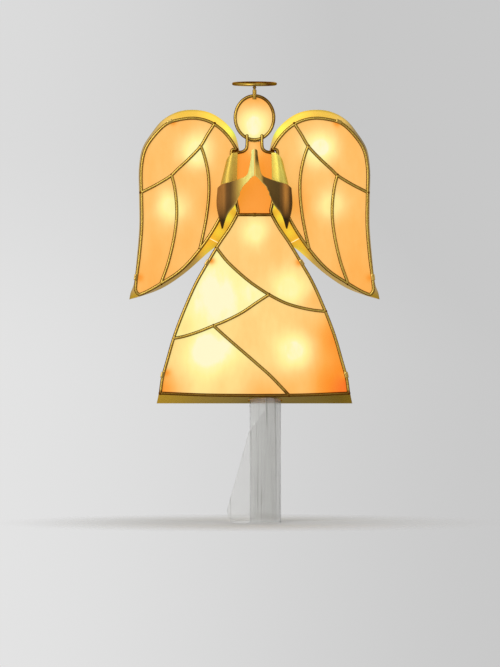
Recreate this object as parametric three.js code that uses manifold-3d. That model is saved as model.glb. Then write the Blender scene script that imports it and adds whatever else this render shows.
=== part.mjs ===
// Lighted angel tree topper: wire frames with translucent panes, gold back trays, folded arms,
// a wire halo, a set of small lamps, and a rolled clear sleeve that slips over the tree's tip.
// Millimetres, +Z up, the front faces -Y. The origin is under the middle of the whole, at its lowest point.
import * as THREE from "three";
import { mergeVertices } from "three/addons/utils/BufferGeometryUtils.js";
import Module from "manifold-3d";

const wasm = await Module();
wasm.setup();

// Body: dress, torso and neck, one flat frame
const hemHalfWidth = 88.6;
const bodyHeight = 244;
const hemHeight = 120.5; // above the sleeve's lower end
const hemDrop = 8.5; // of the tray's straight lower edge at the back, below the hem
const hemSpread = 2.4; // and how far its lower corners spread
const flareRise = 16; // height over which the flare fades out

// Wings
const wingReach = 117.7; // middle of the angel to the front frame's reference edge
const wingHeight = 178.2;
const wingShoulderRise = 3.46; // the wings' upper roots above the shoulders
const wingBackSpread = 1; // the tray's back outline reaches further out
const wingBackRise = 1.6; // and further up
const wingSetback = 8; // the wings' frames behind the body's frame

// Head and halo
const headHalfWidth = 18.2;
const headHalfHeight = 20.7;
const neckOverlap = 3.7; // the neck wires' ends above the head ring's lowest point
const bulbRoom = 1.7; // between the head's bulb and its pane
const headTaper = 1; // how much narrower the head tray is at the back, each side
const haloRadius = 19.8;
const haloWireRadius = 1.45;
const haloPinRadius = 0.95;
const haloPinEngagement = 6;
const haloRise = 4.6; // of the halo wire's lowest point above its tube
const haloTilt = THREE.MathUtils.degToRad(5.2);
const haloTubeRadius = 1.9;
const haloTubeLength = 9.2;
const haloTubeSeat = 3.6; // of its tube, below the top of the head ring

// Stock: round wire, sheet and pane
const wireRadius = 1.5;
const jointRadius = 1.62; // solder bead where wires meet
const sheet = 0.5;
const armSheet = 0.8;
const paneThickness = 1;
const kerf = 1; // gap between neighbouring panes, behind a wire
const gap = 0.3; // between pieces that touch
const overrun = 6; // how far a cutter runs past what it cuts

// Tabs of the trays, folded over the wires
const tabWidth = 5.5;
const tabFoot = 4;
const tabReach = 1.1;

// Arms: rolled sheet, from the shoulder to the joined hands
const armStandOut = 18; // the sleeves' edges beyond the torso's sides
const armDepth = 20.5;
const sleevePointDrop = 13; // below the waist
const handRise = 3; // above the shoulders

// Lamps
const socketRadius = 4.5;
const socketLength = 13;
const socketBore = 2.6;
const socketBoreDepth = 9;
const flangeRadius = 6.5;
const flangeThickness = 2;
const bulbRadius = 2.6;
const bulbBaseRadius = 2.25;
const bulbLength = 11;
const leadRadius = 0.9;

// Clear sleeve that fits over the tree's tip
const sleeveRadius = 15.3;
const sleeveEngagement = 57.5; // length inside the body
const sleeveSheet = 0.5;
const sleeveTurns = 1.12;
const sleeveLap = 0.45; // air between the sleeve's two layers
const sleeveOffset = 10; // to the right of the angel's middle
const flapWidth = 36;
const flapCorner = 7.5;
const flapFoot = 12; // height of the slanted edge's end, at the rounded corner
const flapRun = 21; // height over which that edge goes from the tube's side to its front
const seamDrop = 5; // its end there, below the tray's lower edge
const mouthClearance = 1; // round the sleeve, in the tray's lower wall
const ringThickness = 1.2;
const ringHeight = 9;
const ringFootWidth = 14;
const ringFrontRoom = 2.4; // between the rings and the panes
const ringBackRoom = 0.9; // between the rings and the tray's back
const lowerRingRise = 5.5; // above the hem
const stopLip = 1.8;

// Grommet of the supply lead, and the rivets between the trays
const grommetRadius = 5.6;
const grommetThickness = 1.3;
const grommetNeck = 3.9;
const grommetBore = 2.2;
const rivetRadius = 1.5;
const rivetHeadRadius = 2.7;
const rivetHead = 0.9;

// Levels along Y, from the middle of the body's wire
const paneFront = wireRadius + gap; // behind a frame's own plane
const bodyTrayFront = paneFront;
const ringOutside = sleeveRadius + gap + ringThickness;
const sleeveLevel = bodyTrayFront + paneThickness + ringFrontRoom + ringOutside; // of the sleeve's axis
const backFace = sleeveLevel + ringOutside + ringBackRoom + gap + sheet; // one flat back, body and wings
const headPlane = 2 * wireRadius + gap; // the head ring lies behind the neck wires
const headTrayFront = headPlane + paneFront;
const headBackFace = headTrayFront + paneThickness + bulbRoom + bulbLength + gap + socketLength;

// Steps of the round shapes
const perSpan = 2; // samples between two outline points
const wireSides = 6;
const leadSides = 5;
const roundSides = 9;
const ringSides = 32;
const cornerSteps = 8;
const mergeWithin = 1e-4;
const sharpest = 0.5; // least cosine of half a corner's turn that an offset follows

// Outline shares: [distance left of the middle, height], of the half width and height of what they shape
const neckShares = [[0.079, 1], [0.079, 0.966], [0.087, 0.95], [0.116, 0.94], [0.154, 0.936], [0.199, 0.934]];
const torsoShares = [
  [0.199, 0.934], [0.205, 0.86], [0.203, 0.783], [0.188, 0.736], [0.173, 0.711], [0.182, 0.695],
];
const dressShares = [
  [0.182, 0.695], [0.263, 0.643], [0.361, 0.591], [0.488, 0.515], [0.616, 0.434], [0.748, 0.326],
  [0.851, 0.227], [0.926, 0.133], [0.978, 0.064], [1, 0.007],
];
const hemShares = [[1, 0.007], [0.526, 0], [0, -0.002]];
const dressDividerShares = [
  [[0.403, 0.567], [0.303, 0.52], [0.182, 0.477], [0.048, 0.436], [-0.058, 0.409], [-0.154, 0.387],
    [-0.327, 0.355], [-0.477, 0.338], [-0.626, 0.327], [-0.754, 0.322]],
  [[-0.154, 0.387], [-0.027, 0.357], [0.136, 0.317], [0.324, 0.283], [0.435, 0.267], [0.585, 0.245],
    [0.748, 0.226], [0.857, 0.218]],
  [[0.435, 0.267], [0.286, 0.218], [-0.014, 0.124], [-0.177, 0.071], [-0.366, -0.001]],
];
const wingShares = [[
  [0.143, 0.7925], [0.199, 0.851], [0.277, 0.905], [0.372, 0.942], [0.478, 0.957], [0.596, 0.95],
  [0.7, 0.928], [0.803, 0.864], [0.875, 0.79], [0.905, 0.693], [0.904, 0.55], [0.902, 0.392],
  [0.922, 0.228], [0.949, 0.086], [0.95, 0.045], [0.926, 0.026], [0.883, 0.034], [0.755, 0.081],
  [0.588, 0.155], [0.444, 0.259],
  [0.327, 0.371], [0.249, 0.471], [0.199, 0.577], [0.186, 0.693], [0.185, 0.757], [0.184, 0.779],
  [0.178, 0.789], [0.166, 0.7925],
]];
const wingBackShares = [[
  [0.121, 0.787], [0.159, 0.873], [0.241, 0.937], [0.353, 0.984], [0.476, 1], [0.607, 0.989],
  [0.727, 0.942], [0.813, 0.871], [0.889, 0.793], [0.918, 0.693], [0.917, 0.55], [0.915, 0.392],
  [0.936, 0.228], [0.966, 0.078], [0.989, 0.036], [1, 0],
], [
  [1, 0], [0.915, 0.015], [0.739, 0.059], [0.564, 0.135], [0.376, 0.244], [0.244, 0.318],
  [0.148, 0.44], [0.173, 0.566], [0.173, 0.693], [0.173, 0.757], [0.172, 0.775],
  [0.167, 0.784], [0.158, 0.787],
]];
const wingRootShare = 0.182; // of the wing's inner edge, which lies beside the torso
const wingDividerShares = [
  [[0.32, 0.928], [0.376, 0.87], [0.43, 0.81], [0.524, 0.743], [0.62, 0.684], [0.663, 0.656],
    [0.779, 0.608], [0.908, 0.564]],
  [[0.43, 0.81], [0.404, 0.764], [0.372, 0.672], [0.364, 0.566], [0.382, 0.445], [0.412, 0.339],
    [0.437, 0.266]],
  [[0.663, 0.656], [0.638, 0.587], [0.622, 0.466], [0.635, 0.36], [0.686, 0.203], [0.749, 0.083]],
];

// A point inside each pane, and the lamps behind the panes
const bodyPaneShares = [[0, 0.8], [0, 0.6], [0.5, 0.36], [-0.4, 0.2], [0.5, 0.1]];
const wingPaneShares = [[0.65, 0.85], [0.28, 0.7], [0.5, 0.5], [0.8, 0.4]];
const bodyLampShares = [[-0.005, 0.632], [0.419, 0.389], [-0.345, 0.416], [0.472, 0.173], [-0.43, 0.173]];
const leftLampShares = [[0.468, 0.788], [0.659, 0.492]];
const rightLampShares = [[0.532, 0.804], [0.62, 0.497]];
const headLampShare = -0.33;
const bodyTabShares = [3.07, 7.81]; // places along the dress side, in outline points
const wingTabShares = [5.75, 12.75];
const waistBandShare = 2.2; // length of the band round the waist wire's middle, in wire radii
const rivetShares = [0.72, 0.58]; // heights on the wing of the rivets into the body
const grommetShare = [0.5, 0.045];
const leadStartShare = [0.5, 0.085];
const leadSideShares = [[0.2, 0.56], [0.1, 0.74]]; // from the dress out into a wing
const leadNeckShares = [[0.1, 0.88], [0.03, 0.935]]; // from a wing up into the head

// Arm shares: ribs of [distance from the middle, depth, height], each from top to bottom.
// Depth is a share of the arm's depth in front of the frame, and of the way to the wings behind it.
const forearmShares = [
  [[0.74, -0.99, 0.519], [0.782, -0.99, 0.285], [0.829, -0.93, 0.057]],
  [[0.964, 0, 0.505], [0.984, 0, 0.285], [0.857, -0.17, 0]],
  [[0.844, 0.29, 0.558], [0.909, 0.27, 0.285], [0.836, 0.15, 0.003]],
  [[0.621, 0.51, 0.587], [0.675, 0.49, 0.361], [0.704, 0.39, 0.175]],
  [[0.387, 0.7, 0.624], [0.434, 0.68, 0.462], [0.486, 0.585, 0.313]],
  [[0.203, 0.83, 0.67], [0.26, 0.82, 0.589], [0.335, 0.76, 0.509]],
  [[0.127, 0.91, 0.791], [0.156, 0.9, 0.677], [0.187, 0.88, 0.584]],
  [[0.086, 0.96, 0.913], [0.074, 0.96, 0.766], [0.068, 0.95, 0.645]],
  [[0.066, 0.985, 0.985], [0.05, 0.99, 0.82], [0.045, 0.985, 0.652]],
  [[0.005, 0.985, 1], [0.005, 0.99, 0.83], [0.005, 0.985, 0.66]],
];
const upperArmShares = [
  [[0.46, 0, 0.96], [0.475, 0, 0.73], [0.475, 0, 0.49]],
  [[0.553, 0.08, 0.958], [0.61, 0.11, 0.73], [0.66, 0.11, 0.49]],
  [[0.636, 0.06, 0.93], [0.72, 0.09, 0.715], [0.79, 0.06, 0.49]],
  [[0.704, -0.17, 0.892], [0.803, -0.2, 0.703], [0.88, -0.33, 0.548]],
  [[0.74, -0.83, 0.855], [0.813, -1.06, 0.703], [0.886, -1.12, 0.545]],
];
const forearmSteps = [18, 6];
const upperArmSteps = [8, 6];

// Materials
const gold = new THREE.MeshStandardMaterial({ color: 0xd6a93a, roughness: 0.28, metalness: 1 });
const goldWire = new THREE.MeshStandardMaterial({ color: 0xa8842e, roughness: 0.32, metalness: 1 });
const paneFilm = new THREE.MeshStandardMaterial({
  color: 0xfcbe6e, roughness: 0.45, metalness: 0, emissive: 0xffb35a, emissiveIntensity: 0.5,
});
const bulbGlass = new THREE.MeshStandardMaterial({ color: 0xfff3c8, roughness: 0.1, metalness: 0 });
const socketPlastic = new THREE.MeshStandardMaterial({ color: 0xe6dfcf, roughness: 0.5, metalness: 0 });
const leadJacket = new THREE.MeshStandardMaterial({ color: 0xe9e3d2, roughness: 0.55, metalness: 0 });
const clearPlastic = new THREE.MeshStandardMaterial({
  color: 0xeef2f4, roughness: 0.08, metalness: 0, transparent: true, opacity: 0.35,
});
const rubber = new THREE.MeshStandardMaterial({ color: 0x3a3733, roughness: 0.8, metalness: 0 });

// Solids and geometries

// The solid of a closed geometry, with its shared vertices merged.
function solidOf(geometry) {
  const bare = geometry.clone();
  bare.deleteAttribute("normal");
  bare.deleteAttribute("uv");
  const merged = mergeVertices(bare, mergeWithin);
  return new wasm.Manifold(new wasm.Mesh({
    numProp: 3,
    vertProperties: merged.attributes.position.array,
    triVerts: new Uint32Array(merged.index.array),
  }));
}

function geometryOf(solid) {
  const mesh = solid.getMesh();
  const geometry = new THREE.BufferGeometry();
  geometry.setAttribute("position", new THREE.BufferAttribute(mesh.vertProperties, 3));
  geometry.setIndex(new THREE.BufferAttribute(mesh.triVerts, 1));
  geometry.computeVertexNormals();
  return geometry;
}

const joined = (solids) => solids.reduce((whole, piece) => whole.add(piece));
const cutBy = (solid, cutters) => cutters.reduce((rest, cutter) => rest.subtract(cutter), solid);

// Outlines, as Vector2 of X and Z

const bodyPoint = ([across, up]) => new THREE.Vector2(-across * hemHalfWidth, hemHeight + up * bodyHeight);
const mirrored = (p) => new THREE.Vector2(-p.x, p.y);

const shoulderHeight = bodyPoint(torsoShares[0]).y;
const hemCornerHeight = bodyPoint(hemShares[0]).y;
const trayFoot = hemHeight - hemDrop;
const torsoHalfWidth = Math.max(...torsoShares.map(([across]) => across * hemHalfWidth));
const wingRoot = torsoHalfWidth + 2 * wireRadius + gap; // of the wing's line beside the torso's
const wingTipHeight = shoulderHeight + wingShoulderRise - wingShares[0][0][1] * wingHeight;

// Place on a wing: its root stays beside the torso, whatever its reach and height.
function onWing([across, up], reach, height) {
  const outwards = (across - wingRootShare) / (1 - wingRootShare);
  return new THREE.Vector2(-THREE.MathUtils.lerp(wingRoot, reach, outwards), wingTipHeight + up * height);
}

const wingPoint = (share) => onWing(share, wingReach, wingHeight);
const wingBackPoint = (share) => onWing(share, wingReach + wingBackSpread, wingHeight + wingBackRise);

// A smooth line through the points, with perSpan samples to a span.
function smoothLine(points) {
  const curve = new THREE.CatmullRomCurve3(
    points.map((p) => new THREE.Vector3(p.x, p.y, 0)), false, "centripetal",
  );
  return curve.getPoints((points.length - 1) * perSpan).map((p) => new THREE.Vector2(p.x, p.y));
}

// A closed outline of smooth stretches with corners between them; a straight one closes it.
function smoothOutline(stretches) {
  const closing = [stretches.at(-1).at(-1), stretches[0][0]];
  return [...stretches, closing].flatMap((points) => smoothLine(points).slice(0, -1));
}

// The outward direction at each point of a closed outline that runs anticlockwise, seen from the front.
// Its length is what a mitred offset of one needs.
function mitres(outline) {
  return outline.map((p, i) => {
    const before = outline[(i + outline.length - 1) % outline.length];
    const after = outline[(i + 1) % outline.length];
    const [n1, n2] = [p.clone().sub(before), after.clone().sub(p)]
      .map((d) => new THREE.Vector2(d.y, -d.x).normalize());
    const middle = n1.clone().add(n2).normalize();
    return middle.divideScalar(Math.max(middle.dot(n1), sharpest));
  });
}

function offset(outline, distance) {
  const out = mitres(outline);
  return outline.map((p, i) => p.clone().addScaledVector(out[i], distance));
}

const between = (a, b, share) => a.map((p, i) => p.clone().lerp(b[i], share));

// Solids with a flat front and back, between two levels of Y

// Prism of one outline, front face at y.
function plate(outline, y, thickness) {
  const shape = new THREE.Shape(outline);
  const geometry = new THREE.ExtrudeGeometry(shape, { depth: thickness, bevelEnabled: false });
  return solidOf(geometry.rotateX(Math.PI / 2).translate(0, y + thickness, 0));
}

// Body between a front outline and a back outline that have the same number of points.
function loft(front, back, yFront, yBack) {
  const n = front.length;
  const positions = [];
  front.forEach((p) => positions.push(p.x, yFront, p.y));
  back.forEach((p) => positions.push(p.x, yBack, p.y));
  const index = [];
  THREE.ShapeUtils.triangulateShape(front, []).forEach(([a, b, c]) => index.push(a, b, c));
  THREE.ShapeUtils.triangulateShape(back, []).forEach(([a, b, c]) => index.push(n + a, n + c, n + b));
  for (let i = 0; i < n; i++) {
    const j = (i + 1) % n;
    index.push(i, n + j, j, i, n + i, n + j);
  }
  const geometry = new THREE.BufferGeometry();
  geometry.setAttribute("position", new THREE.BufferAttribute(new Float32Array(positions), 3));
  geometry.setIndex(index);
  return solidOf(geometry);
}

// Open pan of sheet: the loft less its inside, which keeps the sheet's thickness at the walls and the back.
// keepOut is the solid of a neighbour grown by a distance; the pan's wall runs round it, a gap away.
function pan(front, back, yFront, yBack, keepOut) {
  const depth = yBack - yFront;
  const level = (y) => offset(between(front, back, (y - yFront) / depth), -sheet);
  const inside = loft(level(yFront - sheet), level(yBack - sheet), yFront - sheet, yBack - sheet);
  const whole = loft(front, back, yFront, yBack);
  if (!keepOut) return whole.subtract(inside);
  return whole.subtract(keepOut(gap)).subtract(inside.subtract(keepOut(gap + sheet)));
}

// Round wire

// Path that steps exactly on its points, so that close points keep tight bends.
class TracedPath extends THREE.Curve {
  constructor(points, closed = false) {
    super();
    this.points = closed ? [...points, points[0]] : points;
    this.closed = closed;
  }

  getPoint(t, target = new THREE.Vector3()) {
    const place = t * (this.points.length - 1);
    const i = Math.min(Math.floor(place), this.points.length - 2);
    return target.lerpVectors(this.points[i], this.points[i + 1], place - i);
  }

  getPointAt(u, target) {
    return this.getPoint(u, target);
  }

  getTangentAt(u, target = new THREE.Vector3()) {
    const last = this.points.length - 1;
    const i = Math.round(u * last);
    const before = this.points[i > 0 ? i - 1 : this.closed ? last - 1 : 0];
    const after = this.points[i < last ? i + 1 : this.closed ? 1 : last];
    const here = this.points[i];
    const into = here.clone().sub(before).normalize();
    const out = after.clone().sub(here).normalize();
    return target.copy(into).add(out).normalize();
  }
}

function roundSection(radius, sides) {
  const section = new THREE.Shape();
  section.absarc(0, 0, radius, 0, 2 * Math.PI, false);
  return new THREE.Shape(section.getSpacedPoints(sides).slice(0, sides));
}

function tube(points, radius, { closed = false, sides = wireSides } = {}) {
  const path = new TracedPath(points, closed);
  const geometry = new THREE.ExtrudeGeometry(roundSection(radius, sides), {
    steps: path.points.length - 1, extrudePath: path, bevelEnabled: false,
  });
  return solidOf(geometry);
}

// Wire in a frame's plane, along flat points.
const frameWire = (points, y, options) =>
  tube(points.map((p) => new THREE.Vector3(p.x, y, p.y)), wireRadius, options);

// Solder bead where wires meet or turn a corner.
function bead(place, y) {
  const ball = new THREE.SphereGeometry(jointRadius, wireSides, wireSides - 2);
  return solidOf(ball.rotateX(Math.PI / 2).translate(place.x, y, place.y));
}

// Turned parts: profile of [radius, distance along -Y], closed on the axis or on itself.
function turned(profile, place, sides = roundSides) {
  const geometry = new THREE.LatheGeometry(profile.map(([r, h]) => new THREE.Vector2(r, h)), sides);
  return solidOf(geometry.rotateX(Math.PI).translate(...place.toArray()));
}

// Profile of a hole through a wall for something round.
const bore = (radius) => [[0, -overrun], [radius + gap, -overrun], [radius + gap, overrun], [0, overrun]];

// Upright turned part: profile of [radius, height].
function turnedUp(profile, place, sides) {
  const geometry = new THREE.LatheGeometry(profile.map(([r, h]) => new THREE.Vector2(r, h)), sides);
  return solidOf(geometry.rotateX(Math.PI / 2).translate(...place.toArray()));
}

// Strap of a tray, folded over the wire at one place of the frame's line.
function tab(line, place, y) {
  const i = Math.floor(place * perSpan);
  const at = line[i].clone().lerp(line[i + 1], place * perSpan - i);
  const along = line[i + 1].clone().sub(line[i]).normalize();
  const outer = wireRadius + gap + sheet;
  const profile = [
    [outer, paneFront + tabFoot], [outer, -outer], [-tabReach, -outer], [-tabReach, sheet - outer],
    [outer - sheet, sheet - outer], [outer - sheet, paneFront + sheet],
    [wireRadius - sheet / 2, paneFront + sheet], [wireRadius - sheet / 2, paneFront + tabFoot],
  ];
  const shape = new THREE.Shape(profile.map(([out, depth]) => new THREE.Vector2(out, -depth)));
  const geometry = new THREE.ExtrudeGeometry(shape, { depth: tabWidth, bevelEnabled: false });
  geometry.translate(0, 0, -tabWidth / 2);
  // Extrusion axis along the wire, profile X outwards, profile Y to the front
  const out3 = new THREE.Vector3(along.y, 0, -along.x);
  const front3 = new THREE.Vector3(0, -1, 0);
  const along3 = new THREE.Vector3().crossVectors(out3, front3);
  geometry.applyMatrix4(new THREE.Matrix4().makeBasis(out3, front3, along3));
  return solidOf(geometry.translate(at.x, y, at.y));
}

// Sheet rolled through ribs, its front on the ribs and its thickness behind.
function rolledSheet(ribs, [across, down]) {
  const curves = ribs.map((rib) => new THREE.CatmullRomCurve3(rib, false, "centripetal"));
  const front = [];
  for (let j = 0; j <= down; j++) {
    const row = new THREE.CatmullRomCurve3(curves.map((c) => c.getPoint(j / down)), false, "centripetal");
    for (let i = 0; i <= across; i++) front.push(row.getPoint(i / across));
  }
  const { clamp } = THREE.MathUtils;
  const at = (i, j) => front[clamp(j, 0, down) * (across + 1) + clamp(i, 0, across)];
  const behind = front.map((p, k) => {
    const i = k % (across + 1);
    const j = Math.floor(k / (across + 1));
    const [right, up] = [at(i + 1, j).clone().sub(at(i - 1, j)), at(i, j - 1).clone().sub(at(i, j + 1))];
    const normal = right.cross(up).normalize();
    return p.clone().addScaledVector(normal, -armSheet);
  });
  const n = front.length;
  const index = [];
  const quad = (a, b, c, d) => index.push(a, b, c, a, c, d);
  const id = (i, j) => j * (across + 1) + i;
  for (let j = 0; j < down; j++) {
    for (let i = 0; i < across; i++) {
      quad(id(i, j), id(i, j + 1), id(i + 1, j + 1), id(i + 1, j));
      quad(n + id(i, j), n + id(i + 1, j), n + id(i + 1, j + 1), n + id(i, j + 1));
    }
    quad(id(0, j), n + id(0, j), n + id(0, j + 1), id(0, j + 1));
    quad(id(across, j), id(across, j + 1), n + id(across, j + 1), n + id(across, j));
  }
  for (let i = 0; i < across; i++) {
    quad(id(i, 0), id(i + 1, 0), n + id(i + 1, 0), n + id(i, 0));
    quad(id(i, down), n + id(i, down), n + id(i + 1, down), id(i + 1, down));
  }
  const geometry = new THREE.BufferGeometry();
  const positions = [...front, ...behind].flatMap((p) => p.toArray());
  geometry.setAttribute("position", new THREE.BufferAttribute(new Float32Array(positions), 3));
  geometry.setIndex(index);
  return solidOf(geometry);
}

// Panes of one plate, parted by kerfs along the dividers; each is found by a point inside it.
function cutPanes(whole, dividers, y, seeds) {
  const kerfs = dividers.map((line) => {
    const start = line[0].clone().sub(line[1]).setLength(wireRadius).add(line[0]);
    const end = line.at(-1).clone().sub(line.at(-2)).setLength(overrun).add(line.at(-1));
    const centre = [start, ...line, end];
    const sides = centre.map((p, i) => {
      const [before, after] = [centre[i - 1] ?? p, centre[i + 1] ?? p];
      const step = after.clone().sub(before);
      return new THREE.Vector2(step.y, -step.x).setLength(kerf / 2);
    });
    const right = centre.map((p, i) => p.clone().add(sides[i]));
    const left = centre.map((p, i) => p.clone().sub(sides[i]));
    return plate([...right, ...left.reverse()], y - overrun, 2 * overrun);
  });
  const pieces = cutBy(whole, kerfs).decompose();
  return seeds.map((seed) => {
    const probe = new THREE.BoxGeometry(kerf, 2 * overrun, kerf).translate(seed.x, y, seed.y);
    return pieces.find((piece) => piece.intersect(solidOf(probe)).volume() > 0);
  });
}

// The frames' lines and the trays' outlines

const neckLine = smoothLine(neckShares.map(bodyPoint));
const torsoLine = smoothLine(torsoShares.map(bodyPoint));
const dressLine = smoothLine(dressShares.map(bodyPoint));
const hemLine = smoothLine(hemShares.map(bodyPoint));
const leftHalf = [neckLine, torsoLine, dressLine, hemLine].flatMap((line) => line.slice(0, -1));
const hemMiddle = hemLine.at(-1);
const bodyLine = [...leftHalf, hemMiddle, ...leftHalf.map(mirrored).reverse()];
const bodyFront = offset(bodyLine, wireRadius);
const bodyBack = bodyFront.map((p) => {
  const share = THREE.MathUtils.clamp(1 - (p.y - hemCornerHeight) / flareRise, 0, 1);
  return new THREE.Vector2(
    p.x * (1 + (hemSpread * share) / hemHalfWidth), THREE.MathUtils.lerp(p.y, trayFoot, share),
  );
});
const wingLine = smoothOutline(wingShares.map((stretch) => stretch.map(wingPoint)));
const wingFront = offset(wingLine, wireRadius);
const wingBack = smoothOutline(wingBackShares.map((stretch) => stretch.map(wingBackPoint)));
const headRise = hemHeight + bodyHeight - neckOverlap + headHalfHeight; // of the head's middle
const headLine = Array.from({ length: ringSides }, (_, i) => {
  const turn = (2 * Math.PI * i) / ringSides;
  return new THREE.Vector2(headHalfWidth * Math.sin(turn), headRise - headHalfHeight * Math.cos(turn));
});
const headFront = offset(headLine, wireRadius);
const headBack = offset(headFront, -headTaper);
const dressDividers = dressDividerShares.map((line) => smoothLine(line.map(bodyPoint)));
const wingDividers = wingDividerShares.map((line) => smoothLine(line.map(wingPoint)));
const waist = [bodyPoint(torsoShares.at(-1)), mirrored(bodyPoint(torsoShares.at(-1)))];

// Room round the body and the head that their neighbours keep clear
const bodyKeepOut = (growth) =>
  loft(offset(bodyFront, growth), offset(bodyBack, growth), bodyTrayFront, backFace + overrun);
const headKeepOut = (growth) => plate(offset(headFront, growth), wireRadius, backFace + overrun);

// Lamps

const lampPlaces = [
  ...bodyLampShares.map((share) => ({ at: bodyPoint(share), back: backFace })),
  { at: new THREE.Vector2(0, headRise + headLampShare * headHalfHeight), back: headBackFace },
  ...leftLampShares.map((share) => ({ at: wingPoint(share), back: backFace })),
  ...rightLampShares.map((share) => ({ at: mirrored(wingPoint(share)), back: backFace })),
];

const socketHole = (lamp) => turned(bore(socketRadius), new THREE.Vector3(lamp.at.x, lamp.back, lamp.at.y));

function socket(lamp) {
  const front = socketLength;
  const flange = -gap - flangeThickness;
  return turned([
    [0, flange], [flangeRadius, flange], [flangeRadius, -gap], [socketRadius, -gap], [socketRadius, front],
    [socketBore, front], [socketBore, front - socketBoreDepth], [0, front - socketBoreDepth],
  ], new THREE.Vector3(lamp.at.x, lamp.back, lamp.at.y));
}

function bulb(lamp) {
  const foot = socketLength - socketBoreDepth + gap;
  const shoulder = socketLength + gap;
  const tip = shoulder + bulbLength;
  return turned([
    [0, foot], [bulbBaseRadius, foot], [bulbBaseRadius, shoulder], [bulbRadius, shoulder + bulbBaseRadius],
    [bulbRadius, tip - 2 * bulbRadius], [bulbRadius / 2, tip - bulbRadius / 2], [0, tip],
  ], new THREE.Vector3(lamp.at.x, lamp.back, lamp.at.y));
}

// Leads of the lamps: one run that passes beside every socket, from the grommet to the last lamp
const leadLevel = sheet + gap + 2 * leadRadius; // in front of the back face
const passRadius = socketRadius + 2 * gap + leadRadius;

// Points beside a lamp's socket, on the side that turn gives, run clockwise round it.
function pass(lamp, turn) {
  const side = new THREE.Vector2(Math.cos(turn), Math.sin(turn));
  const along = new THREE.Vector2(side.y, -side.x);
  const beside = lamp.at.clone().addScaledVector(side, passRadius);
  return [-1, 0, 1].map((step) => {
    const p = beside.clone().addScaledVector(along, (step * socketRadius) / 2);
    return new THREE.Vector3(p.x, lamp.back - leadLevel, p.y);
  });
}

const bodyAt = (across, up, y) => {
  const p = bodyPoint([across, up]);
  return new THREE.Vector3(p.x, y, p.y);
};

const leadY = backFace - leadLevel;
const grommetPlace = bodyAt(...grommetShare, backFace);

const [leftOf, rightOf, above, below] = [Math.PI, 0, Math.PI / 2, -Math.PI / 2];
const [highLamp, leftSkirtLamp, rightSkirtLamp, leftHemLamp, rightHemLamp, headLamp,
  leftWingLamp, leftWingLowLamp, rightWingLamp, rightWingLowLamp] = lampPlaces;

const leadPath = [
  bodyAt(...leadStartShare, leadY),
  ...pass(leftHemLamp, leftOf), ...pass(leftSkirtLamp, leftOf),
  ...leadSideShares.map(([across, up]) => bodyAt(across, up, leadY)),
  ...pass(leftWingLowLamp, below), ...pass(leftWingLowLamp, leftOf),
  ...pass(leftWingLamp, leftOf), ...pass(leftWingLamp, above),
  ...leadNeckShares.map(([across, up]) => bodyAt(across, up, leadY)),
  ...pass(headLamp, leftOf), ...pass(headLamp, above), ...pass(headLamp, rightOf),
  ...leadNeckShares.map(([across, up]) => bodyAt(-across, up, leadY)).reverse(),
  ...pass(rightWingLamp, above), ...pass(rightWingLamp, rightOf),
  ...pass(rightWingLowLamp, rightOf), ...pass(rightWingLowLamp, below),
  ...leadSideShares.slice(1).map(([across, up]) => bodyAt(-across, up, leadY)),
  ...pass(highLamp, rightOf), ...pass(rightSkirtLamp, rightOf), ...pass(rightHemLamp, rightOf),
];

const leadRun = new THREE.CatmullRomCurve3(leadPath, false, "centripetal")
  .getPoints((leadPath.length - 1) * perSpan);
const leads = tube(leadRun, leadRadius, { sides: leadSides });
const leadHoles = tube(leadRun, leadRadius + 2 * gap, { sides: leadSides });

// Trays

const socketHoles = lampPlaces.map(socketHole);
const sleeveAxis = new THREE.Vector2(sleeveOffset, sleeveLevel);
const uprightAt = (z) => new THREE.Vector3(sleeveAxis.x, sleeveAxis.y, z);
const mouthRadius = sleeveRadius + mouthClearance;
const lowerRingFoot = hemHeight + lowerRingRise;
const mouth = turnedUp(
  [[0, 0], [mouthRadius, 0], [mouthRadius, lowerRingFoot], [0, lowerRingFoot]], uprightAt(0), ringSides,
);
const grommetHole = turned(bore(grommetNeck), grommetPlace);

// Where the edges of an outline cross a height.
function crossings(outline, z) {
  return outline.flatMap((p, i) => {
    const q = outline[(i + 1) % outline.length];
    const share = (z - p.y) / (q.y - p.y);
    return share >= 0 && share < 1 ? [THREE.MathUtils.lerp(p.x, q.x, share)] : [];
  });
}

// Rivets from each wing's wall into the body's, half way back.
// Their reach is from the outside of the body's wall through the wing's wall.
const rivetPlaces = rivetShares.map((share) => {
  const z = wingTipHeight + share * wingHeight;
  const bodyWall = Math.min(...crossings(bodyFront, z));
  const wingWall = Math.max(...crossings(between(wingFront, wingBack, 1 / 2), z));
  const at = new THREE.Vector3(bodyWall, (wingSetback + backFace) / 2, z);
  return { at, reach: Math.max(bodyWall - wingWall, gap) + sheet };
});

// Turned about X: heights of the profile run from the body's wall into the wing.
function alongX(profile, place, side) {
  const geometry = new THREE.LatheGeometry(profile.map(([r, h]) => new THREE.Vector2(r, h)), roundSides);
  geometry.rotateZ(side * Math.PI / 2);
  return solidOf(geometry.translate(side * place.x, place.y, place.z));
}

function rivet({ at, reach }, side) {
  const outside = reach + 2 * gap;
  const inside = -sheet - 2 * gap;
  return alongX([
    [0, inside - rivetHead], [rivetHeadRadius, inside - rivetHead], [rivetHeadRadius, inside],
    [rivetRadius, inside], [rivetRadius, outside], [rivetHeadRadius, outside],
    [rivetHeadRadius, outside + rivetHead], [0, outside + rivetHead],
  ], at, side);
}

const rivetHole = ({ at }, side) => alongX(bore(rivetRadius), at, side);

const dressTabs = bodyTabShares.flatMap((share) => {
  const strap = tab(dressLine, share, 0);
  return [strap, strap.mirror([1, 0, 0])];
});

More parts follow.
